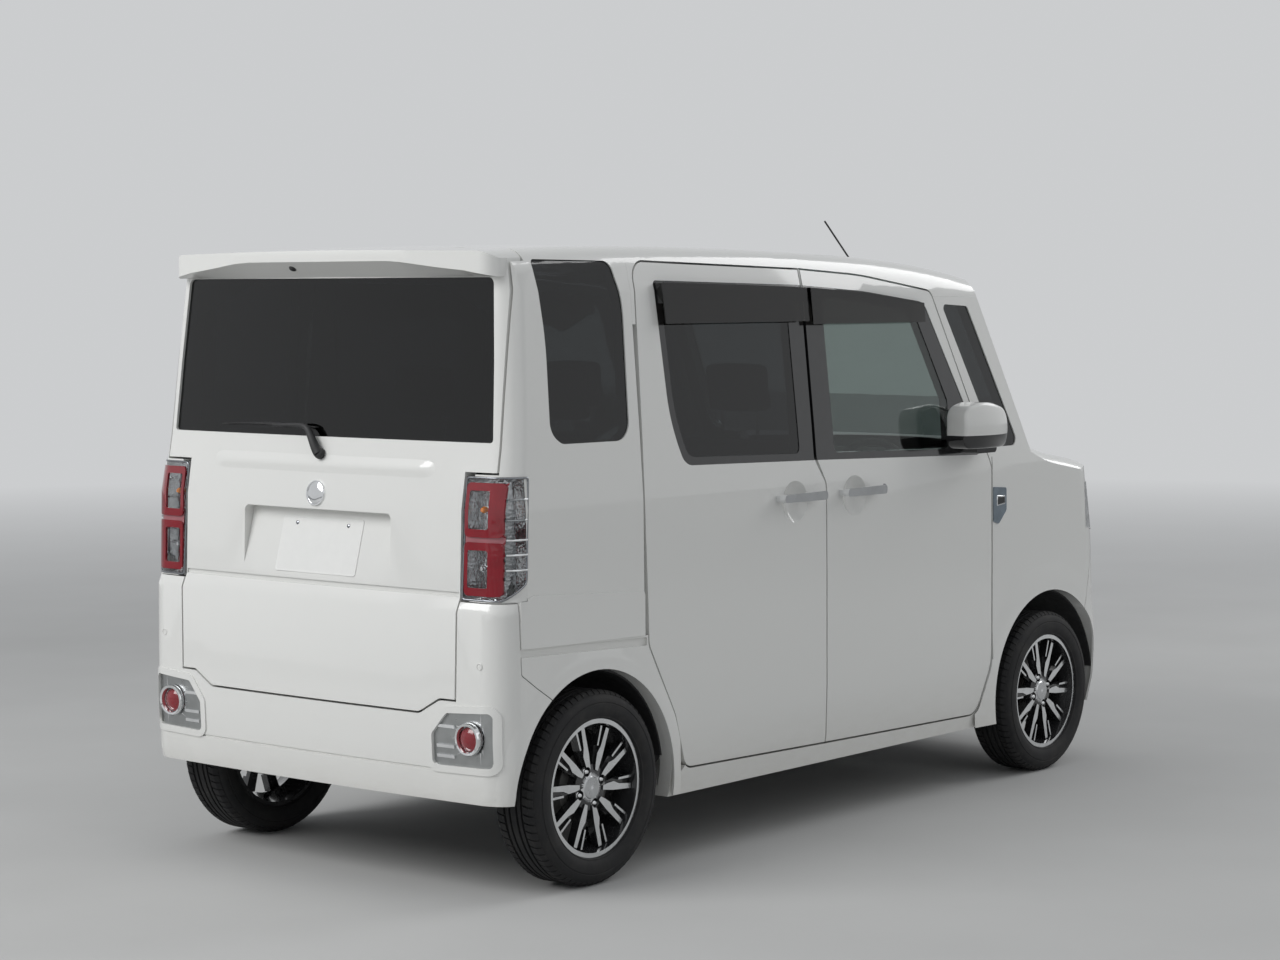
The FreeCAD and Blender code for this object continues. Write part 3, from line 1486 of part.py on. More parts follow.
# The bore's flat sides touch the round seat with their middles.
BORE = bead / math.cos(math.pi / size("tyre_sides"))
HALF_TYRE = (
    (BORE, half_rim - 10),
    (bead + 46, half_tyre),
    (RADIUS - 15, half_tyre - 7),
    (RADIUS, half_tyre - 26),
)
TYRE = HALF_TYRE + tuple((r, -z) for r, z in reversed(HALF_TYRE))
HALF_BARREL = (
    (bead - 18, 10),
    (bead - FIT, half_rim - 30),
    (bead - FIT, half_rim - 5),
    (bead + 9, half_rim - 5),
    (bead + 9, half_rim),
    (bead - 4, half_rim),
    (bead - 10, half_rim - 22),
    (bead - 26, 0),
)
BARREL = HALF_BARREL + tuple((r, -z) for r, z in reversed(HALF_BARREL[:-1]))
RIM_FACE = size("rim_face")
SPOKE_THICK = size("spoke_thick")
WEB_DEPTH = 12
HUB = ((0, 20), (70, 20), (66, RIM_FACE - 6), (33, RIM_FACE - 1), (30, RIM_FACE + 2), (0, RIM_FACE + 3))
SPOKE_PHASE = -6
SPOKE = (
    # a bar that is widest at its knee, along X
    (52, -8),
    (98, -10),
    (178, -7),
    (178, 7),
    (122, 8),
    (98, 15),
    (70, 10),
    (52, 4),
)
RIB = ((119, 19), (177, 25), (176, 32), (119, 25))
WEB = ((46, -7), (175, -6), (173, 31), (112, 24), (66, 13), (46, 6))
LUG_PHASE = 20
LUG_POCKET = 14
LUG_DEPTH = 20


def padded_outline(body, name, corners, level, cell):
    """A pad on the XY plane from a level, as thick as a cell of the sheet says."""
    pad = body.newObject("PartDesign::Pad", name)
    pad.Profile = sketch(body, f"{name}Profile", "xy", corners, level)
    pad.setExpression("Length", cell)
    pad.Profile[0].Visibility = False
    return pad


def turned(corners, degrees):
    """Corners turned about the origin."""
    c, s = math.cos(math.radians(degrees)), math.sin(math.radians(degrees))
    return tuple((x * c - y * s, x * s + y * c) for x, y in corners)


def rim_body(label):
    """A cast wheel: a barrel, ten spokes with ribs and webs, a hub and its bolt pockets."""
    body = doc.addObject("PartDesign::Body", label)
    revolved(body, f"{label}_barrel", BARREL)
    back = RIM_FACE - SPOKE_THICK
    for name, corners, cell in (
        ("spoke", SPOKE, "Sizes.spoke_thick"),
        ("rib", RIB, "Sizes.spoke_thick"),
        ("web", WEB, f"Sizes.spoke_thick - {WEB_DEPTH}"),
    ):
        outline_turned = turned(corners, SPOKE_PHASE)
        pad = padded_outline(body, f"{label}_{name}", outline_turned, back, cell)
        patterned(body, pad, "spoke_count")
    revolved(body, f"{label}_hub", HUB)
    doc.recompute()
    aim = math.radians(LUG_PHASE)
    lug = body.newObject("Sketcher::SketchObject", f"{label}_lug_circle")
    lug.AttachmentSupport = [(body.Origin.OriginFeatures[ORIGIN_PLANES["xy"]], "")]
    lug.MapMode = "FlatFace"
    lug.AttachmentOffset = Placement(Vector(0, 0, RIM_FACE + 6), Rotation())
    centre = Vector(size("lug_circle") * math.cos(aim), size("lug_circle") * math.sin(aim), 0)
    lug.addGeometry(Part.Circle(centre, Vector(0, 0, 1), LUG_POCKET), False)
    pocket = body.newObject("PartDesign::Pocket", f"{label}_lug")
    pocket.Profile = lug
    pocket.Length = LUG_DEPTH + 6
    lug.Visibility = False
    patterned(body, pocket, "lug_count")
    return body


def tyre_ring(label):
    """A tyre's whole section, carried round the axle in flat sides."""
    sides = int(size("tyre_sides"))
    faces = []
    for (near, low), (far, high) in zip(TYRE, TYRE[1:] + TYRE[:1]):
        for k in range(sides):
            corners = []
            for radius, along, step in ((near, low, k), (near, low, k + 1), (far, high, k + 1), (far, high, k)):
                aim = 2 * math.pi * step / sides
                corners.append(Vector(radius * math.cos(aim), radius * math.sin(aim), along))
            faces.append(Part.Face(Part.makePolygon(corners + corners[:1])))
    shell = Part.makeShell(faces)
    shell.sewShape()
    ring = doc.addObject("Part::Feature", label)
    ring.Shape = Part.makeSolid(shell)
    return ring


WHEELS = (
    # name, place along the car, side
    ("front_right", FRONT_AXLE, -1),
    ("front_left", FRONT_AXLE, 1),
    ("rear_right", REAR_AXLE, -1),
    ("rear_left", REAR_AXLE, 1),
)
for kind, make in (("tyre", tyre_ring), ("rim", rim_body)):
    first = make(f"{kind}_{WHEELS[0][0]}")
    doc.recompute()
    shape = first.Shape.copy()
    for name, x, side in WHEELS:
        wheel_part = first
        if name != WHEELS[0][0]:
            wheel_part = doc.addObject("Part::Feature", f"{kind}_{name}")
            wheel_part.Shape = shape
        facing = Rotation(Vector(1, 0, 0), -90 * side)
        wheel_part.Placement = Placement(Vector(x, side * WHEEL_Y, RADIUS), facing)
        nodes.append(wheel_part)

CARRIER_RADIUS = 46
CARRIER_INNER = KINGPIN_Y - 40
DISC_Y = (WHEEL_Y - 20, WHEEL_Y - 8)
LEG_RADIUS = 20
LEG_TOP = 400
for name, side in (("right", -1), ("left", 1)):
    inner, outer = sorted((side * CARRIER_INNER, side * HUB_FACE))
    carrier = across(CARRIER_RADIUS, FRONT_AXLE, RADIUS, inner, outer)
    inner, outer = sorted(side * y for y in DISC_Y)
    disc = across(size("disc_radius"), FRONT_AXLE, RADIUS, inner, outer)
    leg = bar(LEG_RADIUS, *[(FRONT_AXLE, side * BALL_Y, z) for z in (ARM_HIGH + FIT, LEG_TOP)])
    add_node(f"knuckle_{name}", biggest(carrier.fuse([disc, leg])))

steering = size("steering_radius")
GRIP = 14
grip_points = [
    Vector(steering - GRIP + GRIP * math.cos(math.radians(a)), 0, GRIP * math.sin(math.radians(a)))
    for a in range(0, 360, 45)
]
grip_face = Part.Face(Part.makePolygon(grip_points + grip_points[:1]))
grip = grip_face.revolve(Vector(0, 0, 0), Vector(0, 0, 1), 360)
boss = Part.makeCylinder(60, 40, Vector(0, 0, -30))
cross = Part.makeBox(2 * steering - 30, 34, 14, Vector(-steering + 15, -17, -12))
spoke = Part.makeBox(30, steering - 15, 14, Vector(-15, -steering + 15, -12))
wheel = biggest(grip.fuse([boss, cross, spoke]))
upright = Rotation(Vector(0, 1, 0), Vector(0.436, 0, 0.9), COLUMN_WAY, "ZXY")
wheel.Placement = Placement(COLUMN_END + COLUMN_WAY * (30 + FIT), upright)
add_node("steering_wheel", wheel)

ANTENNA = Vector(370, -450, 1774)
ANTENNA_TIP = Vector(225, -450, 1921)
antenna = bar(14, ANTENNA, ANTENNA + Vector(0, 0, 28))
antenna = antenna.fuse(bar(3, ANTENNA + Vector(0, 0, 22), ANTENNA_TIP))
add_node("antenna", biggest(antenna.cut(roof)))

doc.recompute()
for node in doc.Objects:
    if "Invalid" in node.State or "Error" in node.State:
        raise RuntimeError(f"{node.Label} failed: {node.State}")
for node in nodes:
    shape = node.Shape
    if shape.isNull() or not shape.isValid() or not shape.Solids:
        raise RuntimeError(f"{node.Label} has no valid shape")
os.makedirs("parts", exist_ok=True)
for node in nodes:
    node.Shape.exportStep(f"parts/{node.Label}.step")
print(f"{len(nodes)} sub-parts written")
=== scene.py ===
"""Looks of a tall five-door kei car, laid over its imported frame.

Frame: +X forward, +Y to the car's left, +Z up, in metres, with the origin on the ground in the
middle of the car. Every piece stays in the place that its solid has in the frame.
"""

import json
import logging
import math
from dataclasses import dataclass
from enum import Enum
from typing import Callable, Sequence

import bmesh
import bpy
from mathutils import Matrix, Vector


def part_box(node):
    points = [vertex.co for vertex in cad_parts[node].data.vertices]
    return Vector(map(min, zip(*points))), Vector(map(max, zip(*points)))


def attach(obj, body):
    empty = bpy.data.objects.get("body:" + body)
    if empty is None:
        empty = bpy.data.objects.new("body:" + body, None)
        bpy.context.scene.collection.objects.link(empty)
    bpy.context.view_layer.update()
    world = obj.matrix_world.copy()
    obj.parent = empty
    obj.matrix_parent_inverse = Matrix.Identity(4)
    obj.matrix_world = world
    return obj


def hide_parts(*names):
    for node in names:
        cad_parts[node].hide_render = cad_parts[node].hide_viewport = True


LOG = logging.getLogger("kei_car")

Point = tuple[float, float, float]
Colour = tuple[float, float, float]
Outline = tuple[tuple[float, float], ...]
FaceTest = Callable[[Vector, Vector], bool]


class Side(Enum):
    """The two sides of the car, with the sign of Y on each."""

    RIGHT = -1
    LEFT = 1

    @property
    def word(self) -> str:
        """The side's name as the nodes spell it."""
        return self.name.lower()


# Shader building blocks


class Shader:
    """A material's node tree, with short calls for the nodes that the finishes use."""

    def __init__(self, name: str) -> None:
        """Starts a material with one principled shader.

        Args:
            name: the material's name.
        """
        self.material = bpy.data.materials.new(name)
        self.material.use_nodes = True
        self.tree = self.material.node_tree
        self.base = self.tree.nodes["Principled BSDF"]
        self.coords = self.tree.nodes.new("ShaderNodeTexCoord")

    def put(self, **values: object) -> "Shader":
        """Sets the principled shader's sockets.

        Args:
            **values: socket names in lower case with underscores, and their values.

        Returns:
            This shader.
        """
        for key, value in values.items():
            socket = self.base.inputs[key.replace("_", " ").title().replace("Ior", "IOR")]
            socket.default_value = (*value, 1.0) if isinstance(value, tuple) and len(value) == 3 else value
        return self

    def node(self, kind: str, **settings: object) -> bpy.types.Node:
        """Adds a node and sets its own settings.

        Args:
            kind: the node's type name.
            **settings: attributes of the node.

        Returns:
            The new node.
        """
        made = self.tree.nodes.new(kind)
        for key, value in settings.items():
            setattr(made, key, value)
        return made

    def link(self, source: bpy.types.NodeSocket, target: bpy.types.NodeSocket) -> None:
        """Joins two sockets."""
        self.tree.links.new(source, target)

    def place(self, scale: Sequence[float] = (1, 1, 1)) -> bpy.types.NodeSocket:
        """The object's own coordinates, scaled.

        Args:
            scale: factors along X, Y and Z.

        Returns:
            The vector socket.
        """
        mapping = self.node("ShaderNodeMapping")
        mapping.inputs["Scale"].default_value = scale
        self.link(self.coords.outputs["Object"], mapping.inputs["Vector"])
        return mapping.outputs["Vector"]

    def noise(
        self, scale: float, detail: float = 3.0, rough: float = 0.5, stretch: Sequence[float] = (1, 1, 1)
    ) -> bpy.types.NodeSocket:
        """A noise pattern that is fixed to the object.

        Args:
            scale: patches per metre.
            detail: octaves.
            rough: strength of the finer octaves.
            stretch: factors along X, Y and Z.

        Returns:
            The pattern's value socket, about 0 to 1.
        """
        made = self.node("ShaderNodeTexNoise")
        made.inputs["Scale"].default_value = scale
        made.inputs["Detail"].default_value = detail
        made.inputs["Roughness"].default_value = rough
        self.link(self.place(stretch), made.inputs["Vector"])
        return made.outputs["Fac"]

    def ramp(
        self, source: bpy.types.NodeSocket, low: float, high: float, start: Colour, end: Colour
    ) -> bpy.types.NodeSocket:
        """Turns a value into a colour between two colours.

        Args:
            source: the value.
            low: the value that gives the first colour.
            high: the value that gives the last colour.
            start: the first colour.
            end: the last colour.

        Returns:
            The colour socket.
        """
        made = self.node("ShaderNodeValToRGB")
        made.color_ramp.elements[0].position = low
        made.color_ramp.elements[0].color = (*start, 1)
        made.color_ramp.elements[1].position = high
        made.color_ramp.elements[1].color = (*end, 1)
        self.link(source, made.inputs["Fac"])
        return made.outputs["Color"]

    def remap(
        self, source: bpy.types.NodeSocket, low: float, high: float, start: float, end: float
    ) -> bpy.types.NodeSocket:
        """Maps a value from one range to another, held at its ends.

        Args:
            source: the value.
            low: lower end of the first range.
            high: upper end of the first range.
            start: the result at the lower end.
            end: the result at the upper end.

        Returns:
            The mapped value socket.
        """
        made = self.node("ShaderNodeMapRange")
        for key, value in (("From Min", low), ("From Max", high), ("To Min", start), ("To Max", end)):
            made.inputs[key].default_value = value
        self.link(source, made.inputs["Value"])
        return made.outputs["Result"]

    def bump(self, source: bpy.types.NodeSocket, depth: float, strength: float = 1.0) -> None:
        """Lets a value raise the surface.

        Args:
            source: the value.
            depth: height of the full value in metres.
            strength: share of the effect.
        """
        made = self.node("ShaderNodeBump")
        made.inputs["Distance"].default_value = depth
        made.inputs["Strength"].default_value = strength
        self.link(source, made.inputs["Height"])
        self.link(made.outputs["Normal"], self.base.inputs["Normal"])

    def colour(self, source: bpy.types.NodeSocket) -> None:
        """Feeds the base colour."""
        self.link(source, self.base.inputs["Base Color"])

    def roughness(self, source: bpy.types.NodeSocket) -> None:
        """Feeds the roughness."""
        self.link(source, self.base.inputs["Roughness"])

    def height(self) -> bpy.types.NodeSocket:
        """Height above the ground.

        Returns:
            The value socket.
        """
        split = self.node("ShaderNodeSeparateXYZ")
        self.link(self.coords.outputs["Object"], split.inputs["Vector"])
        return split.outputs["Z"]

    def multiply(self, first: bpy.types.NodeSocket, second: bpy.types.NodeSocket) -> bpy.types.NodeSocket:
        """The product of two values.

        Args:
            first: the first value.
            second: the second value.

        Returns:
            The product's socket.
        """
        made = self.node("ShaderNodeMath", operation="MULTIPLY")
        self.link(first, made.inputs[0])
        self.link(second, made.inputs[1])
        return made.outputs["Value"]

    def blend(
        self,
        share: bpy.types.NodeSocket,
        first: bpy.types.NodeSocket | Colour,
        second: bpy.types.NodeSocket | Colour,
    ) -> bpy.types.NodeSocket:
        """Mixes two colours by a value.

        Args:
            share: 0 for the first colour, 1 for the second.
            first: a colour or a colour socket.
            second: a colour or a colour socket.

        Returns:
            The mixed colour socket.
        """
        made = self.node("ShaderNodeMix", data_type="RGBA")
        self.link(share, made.inputs["Factor"])
        for key, value in (("A", first), ("B", second)):
            socket = [s for s in made.inputs if s.name == key and s.type == "RGBA"][0]
            if isinstance(value, tuple):
                socket.default_value = (*value, 1)
            else:
                self.link(value, socket)
        return [s for s in made.outputs if s.type == "RGBA"][0]


@dataclass(frozen=True)
class PearlPaint:
    """White body paint with a clear coat, fine pearl and a trace of road dust low down."""

    name: str = "pearl_white_paint"
    colour: Colour = (0.80, 0.80, 0.775)
    dust: Colour = (0.55, 0.52, 0.46)
    dust_top: float = 0.42

    def build(self) -> bpy.types.Material:
        """Makes the material.

        Returns:
            The material.
        """
        s = Shader(self.name)
        s.put(roughness=0.32, coat_weight=1.0, coat_roughness=0.04, specular_ior_level=0.4)
        deeper = tuple(c * 0.985 for c in self.colour)
        pearl = s.ramp(s.noise(900, 2), 0.35, 0.65, deeper, self.colour)
        low = s.remap(s.height(), 0.2, self.dust_top, 0.5, 0.0)
        share = s.multiply(low, s.noise(14, 5, 0.7, (1, 1, 2.5)))
        s.colour(s.blend(share, pearl, self.dust))
        s.bump(s.noise(420, 2), 0.00003, 0.25)
        return s.material


@dataclass(frozen=True)
class Plastic:
    """Moulded plastic with a fine grain."""

    name: str
    colour: Colour
    rough: float = 0.5
    grain: float = 0.00004
    grain_scale: float = 900
    coat: float = 0.0
    vary: float = 1.25

    def build(self) -> bpy.types.Material:
        """Makes the material.

        Returns:
            The material.
        """
        s = Shader(self.name)
        s.put(coat_weight=self.coat, coat_roughness=0.05)
        light = tuple(min(1.0, c * self.vary + 0.004) for c in self.colour)
        s.colour(s.ramp(s.noise(35, 4), 0.3, 0.7, self.colour, light))
        s.roughness(s.remap(s.noise(60, 3), 0.3, 0.7, self.rough * 0.85, min(1.0, self.rough * 1.15)))
        s.bump(s.noise(self.grain_scale, 2), self.grain, 0.6)
        return s.material


@dataclass(frozen=True)
class WindowGlass:
    """A tinted window pane."""

    name: str
    tint: Colour
    rough: float = 0.0

    def build(self) -> bpy.types.Material:
        """Makes the material.

        Returns:
            The material.
        """
        s = Shader(self.name)
        s.put(base_color=self.tint, roughness=self.rough, ior=1.5)
        s.put(transmission_weight=1.0, specular_ior_level=0.55)
        s.bump(s.noise(3.5, 1), 0.0004, 0.08)
        return s.material


@dataclass(frozen=True)
class Metal:
    """Bare, plated or machined metal."""

    name: str
    colour: Colour
    rough: float = 0.2
    brushed: float = 0.0

    def build(self) -> bpy.types.Material:
        """Makes the material.

        Returns:
            The material.
        """
        s = Shader(self.name)
        s.put(metallic=1.0)
        dark = tuple(c * 0.9 for c in self.colour)
        s.colour(s.ramp(s.noise(25, 3), 0.35, 0.65, dark, self.colour))
        s.roughness(s.remap(s.noise(45, 3), 0.3, 0.7, self.rough * 0.8, min(1.0, self.rough * 1.25)))
        if self.brushed:
            s.bump(s.noise(500, 2), self.brushed, 0.5)
        return s.material


@dataclass(frozen=True)
class Rubber:
    """Tyre rubber, greyed by dust."""

    name: str = "tyre_rubber_black"
    colour: Colour = (0.014, 0.014, 0.015)
    dust: Colour = (0.09, 0.083, 0.072)

    def build(self) -> bpy.types.Material:
        """Makes the material.

        Returns:
            The material.
        """
        s = Shader(self.name)
        s.put(roughness=0.72, specular_ior_level=0.35)
        share = s.remap(s.noise(16, 5, 0.65), 0.45, 0.85, 0.0, 0.25)
        s.colour(s.blend(share, self.colour, self.dust))
        s.bump(s.noise(700, 3), 0.0002, 0.5)
        return s.material


@dataclass(frozen=True)
class Cloth:
    """Woven seat cloth."""

    name: str
    colour: Colour

    def build(self) -> bpy.types.Material:
        """Makes the material.

        Returns:
            The material.
        """
        s = Shader(self.name)
        s.put(roughness=0.9, sheen_weight=0.3, sheen_roughness=0.5)
        light = tuple(c * 1.6 + 0.01 for c in self.colour)
        weave = s.node("ShaderNodeTexChecker")
        weave.inputs["Scale"].default_value = 500
        s.link(s.place(), weave.inputs["Vector"])
        s.colour(s.ramp(s.noise(220, 3), 0.3, 0.7, self.colour, light))
        s.bump(weave.outputs["Fac"], 0.0001, 0.5)
        return s.material


@dataclass(frozen=True)
class LampLens:
    """Moulded lamp plastic with fine optic squares."""

    name: str
    colour: Colour
    squares: float = 210
    clear: float = 0.0

    def build(self) -> bpy.types.Material:
        """Makes the material.

        Returns:
            The material.
        """
        s = Shader(self.name)
        s.put(
            roughness=0.08,
            ior=1.06 if self.clear else 1.5,
            transmission_weight=self.clear,
            coat_weight=0.8,
            coat_roughness=0.03,
        )
        dark = tuple(c * 0.85 for c in self.colour)
        s.colour(s.ramp(s.noise(28, 2), 0.3, 0.7, dark, self.colour))
        optic = s.node("ShaderNodeTexVoronoi", distance="CHEBYCHEV")
        optic.inputs["Scale"].default_value = self.squares
        optic.inputs["Randomness"].default_value = 0.0
        s.link(s.place(), optic.inputs["Vector"])
        s.bump(optic.outputs["Distance"], 0.0003, 0.6)
        return s.material


@dataclass(frozen=True)
class Reflector:
    """The bright crumpled reflector inside a lamp."""

    name: str = "lamp_reflector"
    colour: Colour = (0.78, 0.79, 0.8)
    facets: float = 150

    def build(self) -> bpy.types.Material:
        """Makes the material.

        Returns:
            The material.
        """
        s = Shader(self.name)
        s.put(metallic=1.0, roughness=0.2)
        s.colour(s.ramp(s.noise(30, 2), 0.35, 0.7, tuple(c * 0.8 for c in self.colour), self.colour))
        facet = s.node("ShaderNodeTexVoronoi")
        facet.inputs["Scale"].default_value = self.facets
        s.link(s.place((1, 1, 0.7)), facet.inputs["Vector"])
        s.bump(facet.outputs["Distance"], 0.0012, 0.8)
        return s.material


class Finish(Enum):
    """The car's finishes."""

    PAINT = PearlPaint()
    GLOSS_BLACK = Plastic("gloss_black_frame", (0.012, 0.012, 0.013), 0.12, 0.00002, 300, 0.6)
    MATT_BLACK = Plastic("matt_black_plastic", (0.022, 0.022, 0.023), 0.62)
    UNDERBODY = Plastic("underbody_coating", (0.045, 0.044, 0.043), 0.8, 0.0006, 260)
    DARK_GLASS = WindowGlass("privacy_glass", (0.036, 0.040, 0.044))
    SMOKED = WindowGlass("smoked_visor", (0.06, 0.053, 0.048), 0.05)
    CLEAR_GLASS = WindowGlass("green_tinted_glass", (0.40, 0.46, 0.44))
    CHROME = Metal("bright_chrome", (0.86, 0.87, 0.88), 0.08)
    DARK_CHROME = Metal("dark_chrome", (0.30, 0.31, 0.33), 0.14)
    BLUE_CHROME = Metal("blue_grey_chrome", (0.36, 0.42, 0.48), 0.16)
    SATIN = Metal("satin_silver", (0.60, 0.61, 0.62), 0.3)
    BEZEL = Metal("satin_grey_bezel", (0.40, 0.41, 0.41), 0.34)
    MACHINED = Metal("machined_alloy", (0.80, 0.81, 0.82), 0.22, 0.00008)
    RIM_BLACK = Plastic("rim_black_lacquer", (0.014, 0.014, 0.015), 0.25, 0.00002, 300, 0.8)
    DARK_STEEL = Metal("coated_steel", (0.12, 0.118, 0.115), 0.55, 0.0002)
    DISC_STEEL = Metal("ground_disc_steel", (0.45, 0.44, 0.43), 0.35, 0.0001)
    ENGINE = Metal("cast_engine_metal", (0.34, 0.34, 0.35), 0.5, 0.0005)
    RED_LENS = LampLens("red_lamp_lens", (0.25, 0.003, 0.012))
    ROSE_LENS = LampLens("rose_lamp_lens", (0.42, 0.15, 0.17))
    CLEAR_LENS = LampLens("clear_lamp_lens", (0.93, 0.94, 0.95), 90, 1.0)
    SMOKED_LENS = LampLens("smoky_lamp_lens", (0.50, 0.51, 0.52), 90, 1.0)
    AMBER_LENS = LampLens("amber_lamp_lens", (0.75, 0.22, 0.02))
    REFLECTOR = Reflector()
    RUBBER = Rubber()
    SEAT = Cloth("charcoal_seat_cloth", (0.035, 0.034, 0.033))
    PIPING = Plastic("seat_piping", (0.10, 0.098, 0.092), 0.7, 0.0001, 900)
    TRIM = Plastic("dark_dash_trim", (0.035, 0.034, 0.034), 0.6, 0.00005, 900)
    GRIP = Plastic("black_grip_leather", (0.02, 0.019, 0.018), 0.5, 0.0001, 900)
    SCREEN = Plastic("dark_display", (0.006, 0.007, 0.008), 0.06, 0.00001, 200, 1.0)
    PLATE = Plastic("bare_white_plate", (0.80, 0.80, 0.78), 0.35, 0.00001, 300, 0.3, 1.02)

    def material(self) -> bpy.types.Material:
        """The finish's material, made once."""
        made = bpy.data.materials.get(self.value.name)
        return made if made else self.value.build()


# Mesh helpers


def carried(obj: bpy.types.Object, node: str, stands_for: bool = False) -> bpy.types.Object:
    """Lets a finished piece ride on a node's body.

    Args:
        obj: the piece.
        node: the node.
        stands_for: True where the piece is shown in the solid's place.

    Returns:
        The piece.
    """
    if stands_for:
        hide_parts(node)
    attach(obj, NODE_BODIES[node])
    LOG.info("%s rides on %s, %d faces", obj.name, NODE_BODIES[node], len(obj.data.polygons))
    return obj


def new_object(name: str, mesh: bpy.types.Mesh) -> bpy.types.Object:
    """Puts a mesh into the scene.

    Args:
        name: the object's name.
        mesh: its mesh.

    Returns:
        The object.
    """
    obj = bpy.data.objects.new(name, mesh)
    bpy.context.scene.collection.objects.link(obj)
    return obj


def from_bmesh(
    name: str, work: bmesh.types.BMesh, finish: Finish, crease: float = 30
) -> bpy.types.Object:
    """Turns a bmesh into an object with one finish.

    Args:
        name: the object's name.
        work: the bmesh, which is freed.
        finish: its finish.
        crease: the angle in degrees that stays sharp.

    Returns:
        The object.
    """
    bmesh.ops.recalc_face_normals(work, faces=work.faces)
    mesh = bpy.data.meshes.new(name)
    work.to_mesh(mesh)
    work.free()
    smooth_by_angle(mesh, crease)
    mesh.materials.append(finish.material())
    return new_object(name, mesh)


def smooth_by_angle(mesh: bpy.types.Mesh, degrees: float) -> None:
    """Shades a mesh smooth, with a crease where two faces meet at more than an angle.

    Args:
        mesh: the mesh.
        degrees: the angle.
    """
    mesh.shade_smooth()
    work = bmesh.new()
    work.from_mesh(mesh)
    for edge in work.edges:
        edge.smooth = len(edge.link_faces) == 2 and edge.calc_face_angle(0) < math.radians(degrees)
    work.to_mesh(mesh)
    work.free()


def applied(obj: bpy.types.Object) -> bpy.types.Object:
    """Turns an object's modifiers into plain mesh.

    Args:
        obj: the object.

    Returns:
        The same object, with no modifier left.
    """
    materials = list(obj.data.materials)
    graph = bpy.context.evaluated_depsgraph_get()
    graph.update()
    mesh = bpy.data.meshes.new_from_object(obj.evaluated_get(graph))
    obj.modifiers.clear()
    old = obj.data
    obj.data = mesh
    mesh.name = obj.name
    if not mesh.materials:
        for material in materials:
            mesh.materials.append(material)
    bpy.data.meshes.remove(old)
    return obj


def bevelled(obj: bpy.types.Object, width: float, segments: int = 2, angle: float = 30) -> bpy.types.Object:
    """Rounds an object's edges.

    Args:
        obj: the object.
        width: the round's width in metres.
        segments: steps of the round.
        angle: the least angle in degrees of an edge that is rounded.

    Returns:
        The same object.
    """
    bevel = obj.modifiers.new("Bevel", "BEVEL")
    bevel.width = width
    bevel.segments = segments
    bevel.limit_method = "ANGLE"
    bevel.angle_limit = math.radians(angle)
    return applied(obj)


def prism_mesh(
    outline: Sequence[tuple[float, float]],
    low: float,
    high: float,
    place: Callable[[float, float, float], Point],
) -> bmesh.types.BMesh:
    """A prism from an outline.

    Args:
        outline: corners in the outline's plane.
        low: the first end along the plane's normal.
        high: the other end.
        place: turns (first, second, along) into a point of the car.

    Returns:
        The bmesh.
    """
    work = bmesh.new()
    ends = [[work.verts.new(place(a, b, level)) for a, b in outline] for level in (low, high)]
    work.faces.new(ends[0])
    work.faces.new(reversed(ends[1]))
    count = len(outline)
    for i in range(count):
        j = (i + 1) % count
        work.faces.new((ends[0][j], ends[0][i], ends[1][i], ends[1][j]))
    return work


def lofted(
    rings: Sequence[Sequence[Point]], closed: bool = False, shift: int = 0
) -> bmesh.types.BMesh:
    """A solid whose skin runs over rings of corners.

    Args:
        rings: the rings, with as many corners each.
        closed: True where the last ring meets the first; otherwise both ends are capped.
        shift: the corner of the first ring that the last ring's first corner then meets.

    Returns:
        The bmesh.
    """
    work = bmesh.new()
    made = [[work.verts.new(corner) for corner in ring] for ring in rings]
    following = made[1:] + [made[0][shift:] + made[0][:shift]] if closed else made[1:]
    for a, b in zip(made, following):
        for k in range(len(a)):
            n = (k + 1) % len(a)
            work.faces.new((a[k], a[n], b[n], b[k]))
    if not closed:
        work.faces.new(list(reversed(made[0])))
        work.faces.new(made[-1])
    return work


def circle(
    centre: Vector, first: Vector, second: Vector, radius: float, steps: int
) -> list[Vector]:
    """Points round a centre.

    Args:
        centre: the centre.
        first: the direction of the first point.
        second: the direction a quarter turn on.
        radius: the circle's radius.
        steps: how many points.

    Returns:
        The points.
    """
    aims = (math.tau * k / steps for k in range(steps))
    return [centre + (first * math.cos(aim) + second * math.sin(aim)) * radius for aim in aims]


def tube(points: Sequence[Point], radii: Sequence[float], sides: int = 16) -> bmesh.types.BMesh:
    """A round bar through points, closed at both ends.

    Args:
        points: the centre line.
        radii: the radius at each point.
        sides: corners of the section.

    Returns:
        The bmesh.
    """
    line = [Vector(p) for p in points]
    rings = []
    for i, point in enumerate(line):
        way = (line[min(i + 1, len(line) - 1)] - line[max(i - 1, 0)]).normalized()
        first = way.orthogonal().normalized() if i == 0 else (first - way * first.dot(way)).normalized()
        rings.append(circle(point, first, way.cross(first), radii[i], sides))
    return lofted(rings)


def turned(
    profile: Sequence[tuple[float, float]], centre: Vector, axis: Vector, steps: int = 48
) -> bmesh.types.BMesh:
    """A solid turned round an axis.

    Args:
        profile: (radius, distance along the axis), from the axis or back to its start.
        centre: a point of the axis.
        axis: its direction.
        steps: steps round the axis.

    Returns:
        The bmesh.
    """
    work = bmesh.new()
    axis = axis.normalized()
    first = axis.orthogonal().normalized()
    second = axis.cross(first)
    rings = []
    for radius, along in profile:
        base = centre + axis * along
        if radius < 1e-6:
            rings.append([work.verts.new(base)] * steps)
        else:
            rings.append([work.verts.new(corner) for corner in circle(base, first, second, radius, steps)])
    for a, b in zip(rings, rings[1:]):
        for k in range(steps):
            n = (k + 1) % steps
            corners = list(dict.fromkeys((a[k], a[n], b[n], b[k])))
            if len(corners) > 2:
                work.faces.new(corners)
    return work


